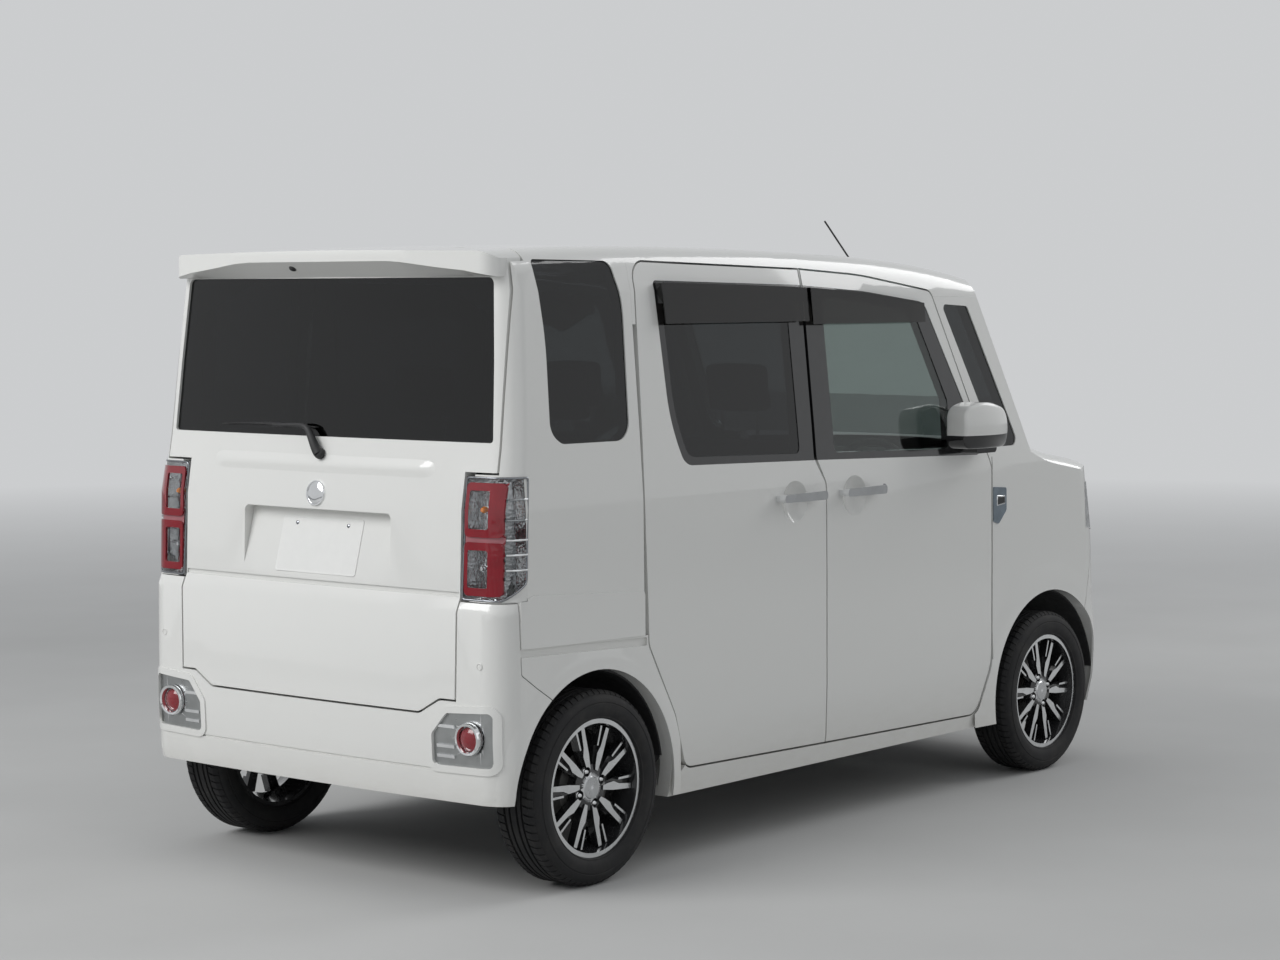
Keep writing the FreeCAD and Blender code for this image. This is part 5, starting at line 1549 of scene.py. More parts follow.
@dataclass
class NoseLamps:
    """Clear head lamps over bright reflectors with round lights, and the fenders' garnishes."""

    light_places: tuple[tuple[float, float], ...] = ((0.50, 0.91), (0.615, 0.915))
    light_radius: float = 0.038
    light_back: float = 0.060
    light_sweep: tuple[float, float] = (0.45, 0.34)
    light_turn: float = 0.1
    light_dome: Outline = ((0, 0.012), (0.45, 0.0095), (0.72, 0.002), (0.76, -0.006), (0, -0.006))
    light_rim: Outline = (
        (0.78, -0.004), (0.82, 0.004), (1, 0.006), (1.04, 0.001), (1.04, -0.012), (0.78, -0.012),
        (0.78, -0.004),
    )
    turn_light: tuple[tuple[float, float, int, int], ...] = (
        # corner along the car and up, and the way in which the frame grows past it
        (0.842, 0.962, -1, -1), (0.842, 0.990, -1, 1), (0.886, 0.988, 1, 1), (0.886, 0.966, 1, -1),
    )
    turn_light_level: float = 0.98
    turn_light_sunk: float = 0.004
    turn_light_edge: float = 0.0015
    turn_light_parts: tuple[tuple[str, float, float, Finish], ...] = (
        # name, growth past the lens, stand-off, finish
        ("frame", 0.004, 0.0045, Finish.CHROME),
        ("lens", 0.0, 0.0055, Finish.SCREEN),
    )

    def build(self) -> None:
        """Makes the lamps and garnishes."""

        def in_front(c: Vector, n: Vector) -> bool:
            """True for the lens, which looks ahead and wraps a little round the side."""
            return n.x > 0.25 or (abs(n.y) > 0.4 and n.x > -0.1 and abs(c.y) > 0.7)

        node_skin("head_lamps", Finish.REFLECTOR, [Zone(Finish.CLEAR_LENS, in_front)])
        node_skin("fender_garnishes", Finish.BLUE_CHROME, crease=40)
        for side in Side:
            for number, (y, z) in enumerate(self.light_places):
                self.add_light(side, number, y, z)
            self.add_turn_light(side)

    def add_light(self, side: Side, number: int, y: float, z: float) -> None:
        """Sets a round projector light into a head lamp.

        Args:
            side: the lamp's side.
            number: the light's number.
            y: its distance from the middle.
            z: its height.
        """
        _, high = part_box("head_lamps")
        start, slope = self.light_sweep
        place = Vector((high[0] - self.light_back - (y - start) * slope, side.value * y, z))
        axis = Vector((1, side.value * self.light_turn, 0))
        parts = (("lens", self.light_dome, Finish.CLEAR_LENS), ("rim", self.light_rim, Finish.DARK_CHROME))
        for name, profile, finish in parts:
            work = turned(scaled(profile, self.light_radius), place, axis, 36)
            carried(from_bmesh(f"head_light_{name}_{number}_{side.word}", work, finish), "head_lamps")

    def add_turn_light(self, side: Side) -> None:
        """Sets the small dark turn light with its bright frame onto a garnish.

        Args:
            side: the side of the car.
        """
        skin = side_skin(self.turn_light_level)

        def place(a: float, b: float, level: float) -> Point:
            """A point of the light's outline, off the body's side."""
            return (a, side.value * (skin + level), b)

        for name, grow, stand, finish in self.turn_light_parts:
            outline = [(x + grow * ahead, z + grow * up) for x, z, ahead, up in self.turn_light]
            work = prism_mesh(outline, -self.turn_light_sunk, stand, place)
            piece = from_bmesh(f"turn_light_{name}_{side.word}", work, finish)
            carried(bevelled(piece, self.turn_light_edge), "fender_garnishes")


# Tailgate fittings


@dataclass
class TailFittings:
    """The bare number plate with its screws, the wiper and the washer nozzle."""

    plate_centre: Point = (-1.652, 0.0, 0.965)
    plate_size: tuple[float, float] = (0.330, 0.165)
    plate_tilt: float = 15.0
    plate_corner: float = 0.009
    plate_corner_least: float = 0.003
    plate_rings: Outline = (
        # inset from the edge, height over the plate's back
        (0.0, 0.0), (0.0, 0.0010), (0.0006, 0.0015), (0.0035, 0.0015), (0.0050, 0.0008), (0.0060, 0.0008),
    )
    screw_spacing: float = 0.210
    screw_height: float = 0.0625
    screw_seat: float = 0.0009
    screw_profile: Outline = (
        (0, 0.0032), (0.0022, 0.0030), (0.0052, 0.0018), (0.0060, 0.0006), (0.0060, -0.001), (0, -0.001),
    )
    pivot: Point = (-1.652, -0.006, 1.232)
    cap_out: float = 0.002
    cap_axis: Point = (-1.0, 0.0, 0.2)
    cap_profile: Outline = (
        (0, 0.0125), (0.009, 0.0115), (0.0145, 0.007), (0.0165, 0.0), (0.0165, -0.006), (0, -0.006),
    )
    arm: tuple[tuple[float, float, float, float], ...] = (
        # place from the pivot along, across and up, and the arm's radius there
        (-0.006, 0.0, 0.0, 0.0145),
        (-0.007, 0.012, 0.018, 0.0135),
        (-0.004, 0.030, 0.045, 0.0115),
        (-0.001, 0.046, 0.066, 0.0100),
        (0.001, 0.066, 0.077, 0.0085),
        (0.003, 0.110, 0.079, 0.0065),
        (0.006, 0.200, 0.077, 0.0045),
    )
    blade_span: tuple[float, float] = (0.020, 0.425)
    blade_steps: int = 12
    blade_up: float = 0.074
    blade_bow: float = 0.006
    blade_stand: float = 0.002
    blade_parts: tuple[tuple[str, float, float, float, float, Finish], ...] = (
        # name, half thickness in the middle and at the ends, outer and inner distance, finish
        ("blade", 0.0045, 0.0015, 0.012, 0.003, Finish.MATT_BLACK),
        ("lip", 0.0012, 0.0008, 0.003, -0.005, Finish.RUBBER),
    )
    nozzle_place: Point = (-1.630, 0.12, 1.7640)
    nozzle_axis: Point = (-0.45, 0.0, -0.9)
    nozzle_profile: Outline = (
        (0, 0.006), (0.004, 0.006), (0.009, 0.004), (0.012, 0.0), (0.012, -0.004), (0, -0.004),
    )

    def build(self) -> None:
        """Makes the fittings."""
        self.add_plate()
        self.add_wiper()
        self.add_nozzle()

    def plate_place(self, across: float, up: float, out: float) -> Point:
        """A point given on the plate: across, up and out from its back.

        Args:
            across: distance from the plate's middle, to the left.
            up: height over the plate's middle.
            out: distance from the plate's back.

        Returns:
            The point in the car.
        """
        tilt = math.radians(self.plate_tilt)
        x = self.plate_centre[0] + up * math.sin(tilt) - out * math.cos(tilt)
        z = self.plate_centre[2] + up * math.cos(tilt) + out * math.sin(tilt)
        return (x, across, z)

    def add_plate(self) -> None:
        """Presses a plain plate with round corners and a raised edge, and its two screws."""
        wide, tall = self.plate_size[0] / 2, self.plate_size[1] / 2
        rings = []
        for inset, out in self.plate_rings:
            corner = max(self.plate_corner - inset, self.plate_corner_least)
            loop = rounded_square(wide - inset, tall - inset, corner, 5)
            rings.append([self.plate_place(a, b, out) for a, b in loop])
        plate = from_bmesh("rear_number_plate", lofted(rings), Finish.PLATE)
        carried(plate, "number_plate", stands_for=True)
        tilt = math.radians(self.plate_tilt)
        out = Vector((-math.cos(tilt), 0, math.sin(tilt)))
        for side in Side:
            across = side.value * self.screw_spacing / 2
            place = Vector(self.plate_place(across, self.screw_height, self.screw_seat))
            work = turned(self.screw_profile, place, out, 20)
            carried(from_bmesh(f"plate_screw_{side.word}", work, Finish.DARK_CHROME), "number_plate")

    def add_wiper(self) -> None:
        """Makes the wiper's cap, its bowed arm and its blade with the rubber lip."""
        x, y, z = self.pivot
        cap = turned(self.cap_profile, Vector((x - self.cap_out, y, z)), Vector(self.cap_axis), 32)
        line = smooth_path([(x + a, y + b, z + c) for a, b, c, _ in self.arm], 4)
        arm = tube(line, smooth_values([radius for *_, radius in self.arm], 4), 14)
        pieces = [
            from_bmesh("wiper_cap", cap, Finish.MATT_BLACK),
            from_bmesh("wiper_arm", arm, Finish.MATT_BLACK, 60),
        ]
        start, end = self.blade_span
        for name, low, high, near, far, finish in self.blade_parts:
            rings = []
            for i in range(self.blade_steps + 1):
                share = i / self.blade_steps
                across = start + (end - start) * share
                level = z + self.blade_up + self.blade_bow * math.sin(math.pi * share)
                glass = tail_skin(across, level) + self.blade_stand
                thin = low + (high - low) * abs(2 * share - 1)
                section = ((near, thin * 0.5), (near, -thin * 0.5), (far, -thin), (far, thin))
                rings.append([(glass - out, across, level + rise) for out, rise in section])
            pieces.append(from_bmesh(f"wiper_{name}", lofted(rings), finish))
        carried(joined("tailgate_wiper", pieces), "rear_wiper", stands_for=True)

    def add_nozzle(self) -> None:
        """Sets the washer's nozzle under the spoiler."""
        work = turned(self.nozzle_profile, Vector(self.nozzle_place), Vector(self.nozzle_axis), 20)
        carried(from_bmesh("washer_nozzle", work, Finish.MATT_BLACK), "tailgate")


# Wheels


@dataclass(frozen=True)
class Corner:
    """One of the four wheels."""

    end: str
    side: Side
    axle_x: float

    @property
    def word(self) -> str:
        """The corner's name as the nodes spell it."""
        return f"{self.end}_{self.side.word}"


@dataclass
class Wheels:
    """Tyres with their tread, and machined ten-spoke wheels with black pockets."""

    corners: tuple[Corner, ...] = tuple(
        Corner(end, side, x) for end, x in (("front", 1.1875), ("rear", -1.2675)) for side in Side
    )
    plane: float = 0.650
    radius: float = 0.281
    bead: float = 0.190
    tread_blocks: int = 70
    block_share: float = 0.80
    block_start: float = 0.036
    block_lean: float = 0.22
    block_section: Outline = (
        # distance from the tread's middle, depth under the tread's crown
        (0.0362, 0.0003), (0.0565, 0.0003), (0.0655, 0.0055), (0.0700, 0.0100), (0.0700, 0.0150),
        (0.0362, 0.0090),
    )
    rim_face: float = 0.052
    lug_circle: float = 0.050
    lug_phase: float = 20.0
    lug_floor: float = 0.032
    lugs: int = 4
    lug_profile: Outline = (
        (0, 0.0215), (0.0040, 0.0205), (0.0075, 0.0165), (0.0088, 0.0125), (0.0100, 0.0118), (0.0105, 0.0),
        (0, 0.0),
    )
    cap_radius: float = 0.0335
    cap_face: float = 0.045
    lip_wide: float = 0.012
    lip_face: float = 0.06
    hub_radius: float = 0.05
    disc_y: float = 0.62
    steps: int = 96

    def build(self) -> None:
        """Makes the four wheels and the brakes behind them."""
        ring = RingRepeat()
        for corner in self.corners:
            self.add_tyre(corner, ring)
            self.add_rim(corner, ring)
        for side in Side:
            node_skin(f"knuckle_{side.word}", Finish.DARK_STEEL, [Zone(Finish.DISC_STEEL, self.on_disc)])

    def on_disc(self, centre: Vector, normal: Vector) -> bool:
        """True for a place on a brake disc.

        Args:
            centre: a face's centre.
            normal: its normal, not used.

        Returns:
            Whether it is.
        """
        axle_x = self.corners[0].axle_x
        reach = math.hypot(centre.x - axle_x, centre.z - self.radius)
        return reach > self.hub_radius and abs(centre.y) > self.disc_y

    def centre(self, corner: Corner) -> Vector:
        """The wheel's centre."""
        return Vector((corner.axle_x, corner.side.value * self.plane, self.radius))

    def tyre_profile(self) -> list[tuple[float, float]]:
        """Half of the tyre's section, from the middle of the tread to the bead.

        Returns:
            The section's points as (radius, distance from the middle).
        """
        r, b = self.radius, self.bead
        return [
            (r - 0.0005, 0.0), (r - 0.0005, 0.009), (r - 0.0065, 0.0095), (r - 0.0065, 0.0165),
            (r - 0.0005, 0.017), (r - 0.0005, 0.028), (r - 0.0065, 0.0285), (r - 0.0065, 0.0355),
            (r - 0.0045, 0.036), (r - 0.0045, 0.0565), (r - 0.0080, 0.0640), (r - 0.0125, 0.0705),
            (r - 0.0170, 0.0755), (r - 0.0250, 0.0790), (r - 0.0330, 0.0805), (r - 0.0345, 0.0795),
            (r - 0.0365, 0.0795), (r - 0.0380, 0.0815), (r - 0.0480, 0.0822), (b + 0.0330, 0.0815),
            (b + 0.0230, 0.0790), (b + 0.0160, 0.0755), (b + 0.0135, 0.0760), (b + 0.0115, 0.0745),
            (b + 0.0100, 0.0660), (b + 0.0020, 0.0600), (b, 0.0560),
        ]

    def add_tyre(self, corner: Corner, ring: RingRepeat) -> None:
        """Makes one tyre: a turned body with ribs, and rings of shoulder blocks.

        Args:
            corner: which wheel it is.
            ring: the tree that repeats pieces round the axle.
        """
        half = self.tyre_profile()
        profile = half + [(r, -a) for r, a in reversed(half[1:])]
        work = turned([*profile, profile[0]], self.centre(corner), Vector((0, 1, 0)), self.steps)
        bmesh.ops.remove_doubles(work, verts=work.verts, dist=1e-6)
        body = from_bmesh(f"tyre_{corner.word}_body", work, Finish.RUBBER, 35)
        blocks = self.block_ring(corner, ring)
        tyre = joined(f"tyre_{corner.word}_treaded", [body, blocks])
        node = f"tyre_{corner.word}"
        carried(tyre, node, stands_for=True)

    def block_ring(self, corner: Corner, ring: RingRepeat) -> bpy.types.Object:
        """The shoulder blocks of both sides of the tread, repeated round the axle.

        Args:
            corner: which wheel it is.
            ring: the tree that repeats pieces round the axle.

        Returns:
            The blocks as one object.
        """
        pitch = math.tau * self.radius / self.tread_blocks
        half = pitch * self.block_share / 2
        pair = []
        for sign, shift in ((1, 0.0), (-1, pitch / 2)):
            ends = []
            for end in (-half, half):
                corners = []
                for y, deep in self.block_section:
                    along = shift + end + (y - self.block_start) * self.block_lean * sign
                    corners.append((along, sign * y, self.radius - deep))
                ends.append(corners)
            pair.append(from_bmesh("block", lofted(ends), Finish.RUBBER))
        blocks = joined(f"tread_{corner.word}", pair)
        ring.spread(blocks, self.tread_blocks, Finish.RUBBER)
        blocks.data.transform(Matrix.Translation(self.centre(corner)))
        return blocks

    def add_rim(self, corner: Corner, ring: RingRepeat) -> None:
        """Dresses one wheel: machined faces, black pockets, a satin cap and its nuts.

        Args:
            corner: which wheel it is.
            ring: the tree that repeats pieces round the axle.
        """
        middle = self.centre(corner)
        out = corner.side.value

        def local(c: Vector) -> tuple[float, float]:
            """Distance from the axle, and outboard of the wheel's centre plane."""
            return math.hypot(c.x - middle.x, c.z - middle.z), out * (c.y - middle.y)

        def on_cap(c: Vector, n: Vector) -> bool:
            """True for the cap over the hub."""
            return local(c)[0] < self.cap_radius and local(c)[1] > self.cap_face

        def machined(c: Vector, n: Vector) -> bool:
            """True for the turned front faces of spokes, ribs and lip.

            Args:
                c: a face's centre.
                n: its normal.

            Returns:
                Whether it is one of them.
            """
            reach, along = local(c)
            on_lip = reach > self.bead - self.lip_wide and along > self.lip_face
            return n.y * out > 0.9 and (along > self.rim_face - 0.002 or on_lip)

        zones = [Zone(Finish.SATIN, on_cap), Zone(Finish.MACHINED, machined)]
        node_skin(f"rim_{corner.word}", Finish.RIM_BLACK, zones)
        aim = math.radians(self.lug_phase)
        across, up = self.lug_circle * math.cos(aim), self.lug_circle * math.sin(aim)
        place = Vector((across, out * self.lug_floor, up))
        work = turned(self.lug_profile, place, Vector((0, out, 0)), 18)
        nut = from_bmesh(f"wheel_nuts_{corner.word}", work, Finish.CHROME)
        ring.spread(nut, self.lugs, Finish.CHROME)
        nut.data.transform(Matrix.Translation(middle))
        carried(nut, f"rim_{corner.word}")


# Underside


@dataclass
class Underside:
    """What shows below: frame, arms, axle, exhaust, tank and engine."""

    nodes: tuple[tuple[str, Finish], ...] = (
        ("front_frame", Finish.DARK_STEEL),
        ("front_suspension", Finish.DARK_STEEL),
        ("rear_axle", Finish.DARK_STEEL),
        ("exhaust", Finish.DISC_STEEL),
        ("fuel_tank", Finish.MATT_BLACK),
        ("engine_block", Finish.ENGINE),
    )

    def build(self) -> None:
        """Dresses the solids of the underside."""
        for node, finish in self.nodes:
            node_skin(node, finish)


# Cabin


@dataclass(frozen=True)
class Pad:
    """One stuffed part of a seat: its side view, its place across the car and its seams."""

    name: str
    node: str
    side_view: tuple[tuple[float, float], ...]
    wide: float
    seams: tuple[float, ...]
    up: Point


@dataclass
class Cabin:
    """Seats as stuffed pads, the dashboard and the steering wheel."""

    seat_high: float = 0.700
    bench_x: float = -0.8
    pad_fill: float = 0.85
    pad_edge: float = 0.022
    back_up: Point = (0.94, 0.0, 0.34)
    voxel: float = 0.010
    pressure: float = 4.0
    most_swell: float = 0.022
    shrink: float = 0.016
    frames: int = 20
    column_end: Point = (0.610, -0.350, 1.005)
    column_way: Point = (-0.9, 0.0, 0.436)
    column_gap: float = 0.0303
    grip_radius: float = 0.171
    grip_thick: float = 0.0135
    grip_steps: int = 14
    boss_profile: Outline = (
        (0, 0.0098), (0.030, 0.0088), (0.052, 0.0050), (0.059, -0.004), (0.059, -0.0295), (0, -0.0295),
    )
    spokes: tuple[tuple[tuple[float, float], tuple[float, float], float, Finish], ...] = (
        # inner end and outer end, across and up from the wheel's middle, half the width, finish
        ((0.045, 0.004), (0.166, 0.006), 0.017, Finish.SATIN),
        ((-0.045, 0.004), (-0.166, 0.006), 0.017, Finish.SATIN),
        ((0.0, -0.045), (0.0, -0.166), 0.014, Finish.TRIM),
    )
    spoke_sunk: float = 0.005
    spoke_thick: float = 0.0065
    spoke_waist: tuple[tuple[float, float], ...] = ((0.0, 1.0), (0.55, 0.75), (1.0, 0.9))
    spoke_section: Outline = ((1, -1), (1, 0.4), (0.7, 1), (-0.7, 1), (-1, 0.4), (-1, -1))
    seam_wide: float = 0.009
    seam_deep: float = 0.009
    seam_facing: float = 0.3
    floor_level: float = 0.2583
    bench_level: float = 0.4023
    base_top: float = 0.545
    base_taper: float = 0.02
    base_edge: float = 0.012
    post_levels: tuple[float, float] = (1.235, 1.320)
    post_apart: float = 0.070
    post_radius: float = 0.006
    post_rows: tuple[tuple[str, float, float], ...] = (
        # solid, place along the car, distance of the seats from the middle
        ("front_seats", -0.107, 0.35),
        ("rear_seat", -0.907, 0.27),
    )
    dash_levels: tuple[float, float] = (0.960, 1.100)
    dash_face: float = 0.660
    dash_lean: float = 0.020
    display_depths: tuple[float, float] = (0.004, -0.006)
    display_edge: float = 0.002
    displays: tuple[tuple[str, float, float, float, float], ...] = (
        # name, both sides, bottom and top
        ("centre_display", -0.115, 0.115, 0.985, 1.075),
        ("dials_glass", -0.470, -0.230, 1.010, 1.082),
    )

    def build(self) -> None:
        """Makes the cabin's furniture."""
        self.add_seats()
        node_skin("dashboard", Finish.TRIM)
        self.add_steering_wheel()
        self.add_displays()

    def cushion(self, x: float) -> tuple[tuple[float, float], ...]:
        """A cushion's side view, for a seat that starts at a place along the car."""
        high = self.seat_high
        return ((x, high - 0.170), (x + 0.480, high - 0.160), (x + 0.500, high), (x, high - 0.030))

    def back(self, x: float) -> tuple[tuple[float, float], ...]:
        """A back's side view.

        Args:
            x: where the seat starts along the car.

        Returns:
            The view's corners.
        """
        high = self.seat_high
        low = ((x - 0.080, high - 0.150), (x + 0.060, high - 0.120))
        return (*low, (x - 0.070, high + 0.560), (x - 0.180, high + 0.550))

    def rest(self, x: float) -> tuple[tuple[float, float], ...]:
        """A head restraint's side view.

        Args:
            x: where the seat starts along the car.

        Returns:
            The view's corners.
        """
        low = self.seat_high + 0.590
        x -= 0.115
        return ((x - 0.030, low), (x + 0.055, low), (x + 0.025, low + 0.190), (x - 0.060, low + 0.185))

    def add_seats(self) -> None:
        """Makes one pad of each kind, stuffs it and sets it in every place that needs it."""
        bench = self.bench_x
        kinds = (
            # kind, solid, side view, width, seams from the middle, distance of a pair from the middle
            ("cushion", "front_seats", self.cushion(0.0), 0.490, 0.155, 0.350),
            ("back", "front_seats", self.back(0.0), 0.490, 0.150, 0.350),
            ("head_rest", "front_seats", self.rest(0.0), 0.256, None, 0.350),
            ("cushion", "rear_seat", self.cushion(bench), 0.550, 0.170, 0.279),
            ("back", "rear_seat", self.back(bench), 0.550, 0.170, 0.279),
            ("head_rest", "rear_seat", self.rest(bench), 0.256, None, 0.270),
        )
        for name, node, side_view, wide, seam, apart in kinds:
            up = (0.0, 0.0, 1.0) if name == "cushion" else self.back_up
            pad = Pad(name, node, side_view, wide, (-seam, seam) if seam else (), up)
            stuffed = self.stuff(pad)
            for side in Side:
                mesh = stuffed.copy()
                mesh.transform(Matrix.Translation((0, side.value * apart, 0)))
                piece = new_object(f"{pad.node}_{pad.name}_{side.word}", mesh)
                mesh.name = piece.name
                carried(piece, pad.node, stands_for=True)
            bpy.data.meshes.remove(stuffed)
        self.add_seat_frames()

    def stuff(self, pad: Pad) -> bpy.types.Mesh:
        """Blows one pad up as cloth under pressure and sews its seams.

        Args:
            pad: the pad.

        Returns:
            Its mesh, in the middle of the car.
        """
        middle = Vector((sum(a for a, _ in pad.side_view) / 4, sum(b for _, b in pad.side_view) / 4))
        view = []
        for corner in pad.side_view:
            way = Vector(corner) - middle
            view.append(tuple(middle + way * (1 - self.shrink * 1.3 / way.length)))

        def place(a: float, b: float, across: float) -> Point:
            """A point of the side view, across the car."""
            return (a, across, b)

        half = pad.wide / 2 - self.shrink
        work = prism_mesh(view, -half, half, place)
        bmesh.ops.bevel(
            work, geom=work.edges[:], offset=self.pad_edge, segments=3, profile=0.6, affect="EDGES"
        )
        obj = from_bmesh(f"{pad.node}_{pad.name}_stuffed", work, Finish.SEAT)
        remesh = obj.modifiers.new("Remesh", "REMESH")
        remesh.mode = "VOXEL"
        remesh.voxel_size = self.voxel
        applied(obj)
        self.inflate(obj)
        self.sew(obj, pad)
        smooth = obj.modifiers.new("Smooth", "SUBSURF")
        smooth.levels = 1
        smooth.render_levels = 1
        applied(obj)
        mesh = obj.data
        mesh.shade_smooth()
        bpy.data.objects.remove(obj)
        return mesh

    def inflate(self, obj: bpy.types.Object) -> None:
        """Lets cloth under inner pressure swell, no further than a pad of this size does.

        Args:
            obj: the pad's object.
        """
        start = [v.co.copy() for v in obj.data.vertices]
        cloth = obj.modifiers.new("Cloth", "CLOTH")
        settings = cloth.settings
        settings.quality = 4
        settings.use_pressure = True
        settings.uniform_pressure_force = self.pressure
        settings.effector_weights.gravity = 0.0
        cloth.point_cache.frame_start = 1
        cloth.point_cache.frame_end = self.frames
        scene = bpy.context.scene
        for frame in range(1, self.frames + 1):
            scene.frame_set(frame)
        applied(obj)
        scene.frame_set(1)
        for vertex, place in zip(obj.data.vertices, start):
            move = vertex.co - place
            if move.length > self.most_swell:
                vertex.co = place + move * (self.most_swell / move.length)

    def sew(self, obj: bpy.types.Object, pad: Pad) -> None:
        """Pulls in the two seams along a pad's upper side.

        Args:
            obj: the pad's object.
            pad: the pad.
        """
        up = Vector(pad.up).normalized()
        for vertex in obj.data.vertices:
            facing = vertex.normal.dot(up)
            if facing < self.seam_facing:
                continue
            deep = 0.0
            for seam in pad.seams:
                deep = max(deep, math.exp(-(((vertex.co.y - seam) / self.seam_wide) ** 2)))
            vertex.co -= up * (self.seam_deep * deep * min(1.0, facing))

    def add_seat_frames(self) -> None:
        """Makes the plastic bases under the cushions and the posts of the head restraints."""
        bases = (
            ("front_seats", "base_right", (0.02, 0.40), (-0.54, -0.16), self.floor_level),
            ("front_seats", "base_left", (0.02, 0.40), (0.16, 0.54), self.floor_level),
            ("rear_seat", "base", (-0.76, -0.38), (-0.50, 0.50), self.bench_level),
        )

        def place(a: float, b: float, across: float) -> Point:
            """A point of a base's side view."""
            return (a, across, b)

        for node, name, (rear, front), sides, low in bases:
            high, taper = self.base_top, self.base_taper
            outline = [(rear, low), (front, low), (front - taper, high), (rear + taper, high)]
            work = prism_mesh(outline, *sides, place)
            base = bevelled(from_bmesh(f"{node}_{name}", work, Finish.TRIM), self.base_edge, 3)
            carried(base, node, stands_for=True)
        low, high = self.post_levels
        for node, x, apart in self.post_rows:
            posts = []
            for side in Side:
                for step in (-self.post_apart, self.post_apart):
                    across = side.value * apart + step
                    work = tube([(x, across, low), (x + 0.002, across, high)], [self.post_radius] * 2, 16)
                    posts.append(from_bmesh(f"post_{len(posts)}", work, Finish.CHROME))
            carried(joined(f"{node}_posts", posts), node, stands_for=True)

    def add_steering_wheel(self) -> None:
        """Makes the steering wheel: a round grip, three spokes and a boss."""
        way = Vector(self.column_way).normalized()
        centre = Vector(self.column_end) + way * self.column_gap
        across = Vector((0, 1, 0))
        upward = across.cross(way).normalized()
        ring, thick = self.grip_radius, self.grip_thick
        aims = [math.tau * k / self.grip_steps for k in range(self.grip_steps + 1)]
        loop = [(ring + thick * math.cos(aim), thick * math.sin(aim)) for aim in aims]
        work = turned(loop, centre, way, 64)
        bmesh.ops.remove_doubles(work, verts=work.verts, dist=1e-6)
        pieces = [from_bmesh("grip", work, Finish.GRIP, 60)]
        pieces.append(from_bmesh("boss", turned(self.boss_profile, centre, way, 40), Finish.TRIM))
        for number, ((a0, b0), (a1, b1), wide, finish) in enumerate(self.spokes):
            start = centre + across * a0 + upward * b0 - way * self.spoke_sunk
            end = centre + across * a1 + upward * b1 - way * self.spoke_sunk
            flat = (end - start).normalized().cross(way)
            rings = []
            for share, waist in self.spoke_waist:
                place = start.lerp(end, share)
                wing, deep = flat * wide * waist, way * self.spoke_thick
                rings.append([place + wing * s + deep * t for s, t in self.spoke_section])
            pieces.append(from_bmesh(f"spoke_{number}", lofted(rings), finish))
        carried(joined("steering_wheel_rim", pieces), "steering_wheel", stands_for=True)

    def on_dash(self, y: float, z: float, out: float) -> Point:
        """A point off the dashboard's leaning face."""
        low, high = self.dash_levels
        return (self.dash_face - self.dash_lean * (z - low) / (high - low) - out, y, z)

    def add_displays(self) -> None:
        """Sets a dark display and the dials' glass against the dashboard's face."""
        for name, y0, y1, z0, z1 in self.displays:
            corners = ((y0, z0), (y1, z0), (y1, z1), (y0, z1))
            rings = [[self.on_dash(y, z, out) for y, z in corners] for out in self.display_depths]
            piece = bevelled(from_bmesh(name, lofted(rings), Finish.SCREEN), self.display_edge)
            carried(piece, "dashboard")


# Studio


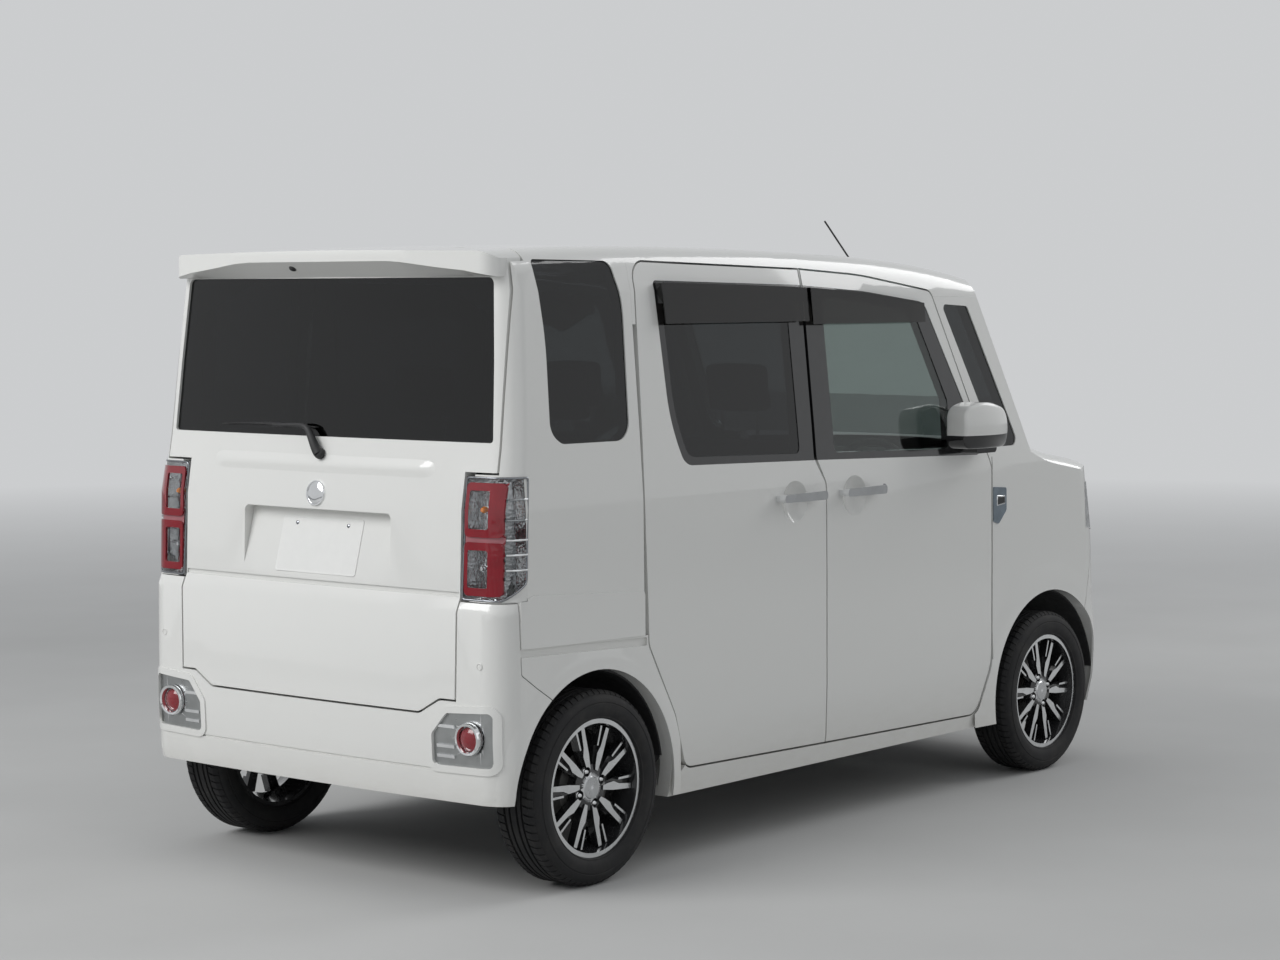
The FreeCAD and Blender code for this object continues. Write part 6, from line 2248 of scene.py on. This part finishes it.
@dataclass
class Studio:
    """The floor, the lights and the camera at the photograph's angle."""

    camera_place: Point = (-7.3077, -5.8424, 1.7040)
    yaw: float = 39.374
    pitch: float = -3.915
    roll: float = -0.212
    lens: float = 78.82
    sensor: float = 36.0
    floor_size: float = 60.0
    sky_colour: Colour = (0.93, 0.96, 1.0)
    sky_strength: float = 0.40
    backdrop_colour: Colour = (0.60, 0.61, 0.62)
    fade_ring: tuple[float, float] = (5.0, 16.0)
    floor_colours: tuple[Colour, Colour] = ((0.55, 0.55, 0.54), (0.58, 0.58, 0.57))
    lamps: tuple[tuple[str, Point, Point, float, float], ...] = (
        # name, place, aim, side in metres, power in watts
        ("key_light", (-8.0, 2.5, 6.0), (-1.2, 0, 0.9), 5.0, 430),
        ("side_light", (-1.0, -8.0, 4.0), (0, 0, 0.8), 5.0, 30),
        ("front_light", (6.5, -3.0, 5.0), (0, 0, 0.8), 4.0, 150),
    )

    def build(self) -> None:
        """Makes the stage."""
        self.add_camera()
        self.add_floor()
        self.add_lights()
        bpy.context.scene.view_settings.view_transform = "Standard"

    def add_camera(self) -> None:
        """Puts the camera at the photograph's angle."""
        yaw, pitch, roll = (math.radians(a) for a in (self.yaw, self.pitch, self.roll))
        ahead = Vector(
            (math.cos(pitch) * math.cos(yaw), math.cos(pitch) * math.sin(yaw), math.sin(pitch))
        )
        level = ahead.cross(Vector((0, 0, 1))).normalized()
        upright = level.cross(ahead)
        right = math.cos(roll) * level + math.sin(roll) * upright
        up = math.cos(roll) * upright - math.sin(roll) * level
        data = bpy.data.cameras.new("photo_camera")
        data.lens = self.lens
        data.sensor_width = self.sensor
        data.clip_end = 200
        camera = bpy.data.objects.new("photo_camera", data)
        turn = Matrix((right, up, -ahead)).transposed().to_4x4()
        camera.matrix_world = Matrix.Translation(Vector(self.camera_place)) @ turn
        bpy.context.scene.collection.objects.link(camera)
        bpy.context.scene.camera = camera

    def add_floor(self) -> None:
        """Lays the pale floor."""
        half = self.floor_size / 2
        mesh = bpy.data.meshes.new("pale_floor")
        mesh.from_pydata(
            [(-half, -half, 0), (half, -half, 0), (half, half, 0), (-half, half, 0)], [], [(0, 1, 2, 3)]
        )
        s = Shader("pale_floor")
        s.put(roughness=0.85, specular_ior_level=0.2)
        s.colour(s.ramp(s.noise(1.2, 4), 0.3, 0.7, *self.floor_colours))
        self.fade(s)
        mesh.materials.append(s.material)
        floor = bpy.data.objects.new("pale_floor", mesh)
        bpy.context.scene.collection.objects.link(floor)

    def fade(self, s: Shader) -> None:
        """Lets the far floor pass into the backdrop, as the camera sees it.

        Args:
            s: the floor's shader.
        """
        far = s.node("ShaderNodeVectorMath", operation="LENGTH")
        s.link(s.coords.outputs["Object"], far.inputs[0])
        near, away = self.fade_ring
        share = s.remap(far.outputs["Value"], near, away, 0.0, 1.0)
        seen = s.node("ShaderNodeLightPath").outputs["Is Camera Ray"]
        glow = s.node("ShaderNodeEmission")
        glow.inputs["Color"].default_value = (*self.backdrop_colour, 1)
        mix = s.node("ShaderNodeMixShader")
        s.link(s.multiply(share, seen), mix.inputs["Fac"])
        s.link(s.base.outputs["BSDF"], mix.inputs[1])
        s.link(glow.outputs["Emission"], mix.inputs[2])
        s.link(mix.outputs["Shader"], s.tree.nodes["Material Output"].inputs["Surface"])

    def add_lights(self) -> None:
        """Hangs a large key light behind the tail, two fills and an even sky, with its backdrop as seen."""
        for lamp in self.lamps:
            self.add_panel(*lamp)
        world = bpy.data.worlds.new("soft_studio")
        world.use_nodes = True
        tree = world.node_tree
        sky = tree.nodes["Background"]
        sky.inputs["Color"].default_value = (*self.sky_colour, 1)
        sky.inputs["Strength"].default_value = self.sky_strength
        backdrop = tree.nodes.new("ShaderNodeBackground")
        backdrop.inputs["Color"].default_value = (*self.backdrop_colour, 1)
        ray, mix = tree.nodes.new("ShaderNodeLightPath"), tree.nodes.new("ShaderNodeMixShader")
        seen = ray.outputs["Is Camera Ray"]
        for other in ("Is Glossy Ray", "Is Transmission Ray"):
            either = tree.nodes.new("ShaderNodeMath")
            either.operation = "MAXIMUM"
            tree.links.new(seen, either.inputs[0])
            tree.links.new(ray.outputs[other], either.inputs[1])
            seen = either.outputs[0]
        tree.links.new(seen, mix.inputs["Fac"])
        tree.links.new(sky.outputs[0], mix.inputs[1])
        tree.links.new(backdrop.outputs[0], mix.inputs[2])
        tree.links.new(mix.outputs[0], tree.nodes["World Output"].inputs["Surface"])
        bpy.context.scene.world = world

    def add_panel(self, name: str, place: Point, aim: Point, size: float, power: float) -> None:
        """Hangs one square light.

        Args:
            name: the light's name.
            place: where it hangs.
            aim: the point it faces.
            size: its side.
            power: its power in watts.
        """
        data = bpy.data.lights.new(name, "AREA")
        data.size = size
        data.energy = power
        light = bpy.data.objects.new(name, data)
        way = Vector(aim) - Vector(place)
        light.location = place
        light.rotation_euler = way.to_track_quat("-Z", "Y").to_euler()
        bpy.context.scene.collection.objects.link(light)

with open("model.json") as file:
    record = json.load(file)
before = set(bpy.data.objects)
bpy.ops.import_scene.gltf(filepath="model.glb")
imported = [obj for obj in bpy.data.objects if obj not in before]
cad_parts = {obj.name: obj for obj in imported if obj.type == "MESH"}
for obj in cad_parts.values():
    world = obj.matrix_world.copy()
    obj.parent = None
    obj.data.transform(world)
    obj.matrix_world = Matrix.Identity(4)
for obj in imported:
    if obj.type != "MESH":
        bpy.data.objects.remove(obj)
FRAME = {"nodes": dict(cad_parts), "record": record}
NODE_BODIES = {
    node: body for body, nodes in FRAME["record"]["behaviour"]["bodies"].items() for node in nodes
}


def main() -> None:
    """Builds the car's looks on its frame."""
    logging.basicConfig(level=logging.INFO, format="%(message)s")
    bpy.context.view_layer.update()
    Studio().build()
    for part in (Bodywork(), Doors(), TailLamps(), RearReflectors(), NoseLamps(), TailFittings(), Wheels()):
        part.build()
    Underside().build()
    Cabin().build()


if __name__ == "__main__":
    main()
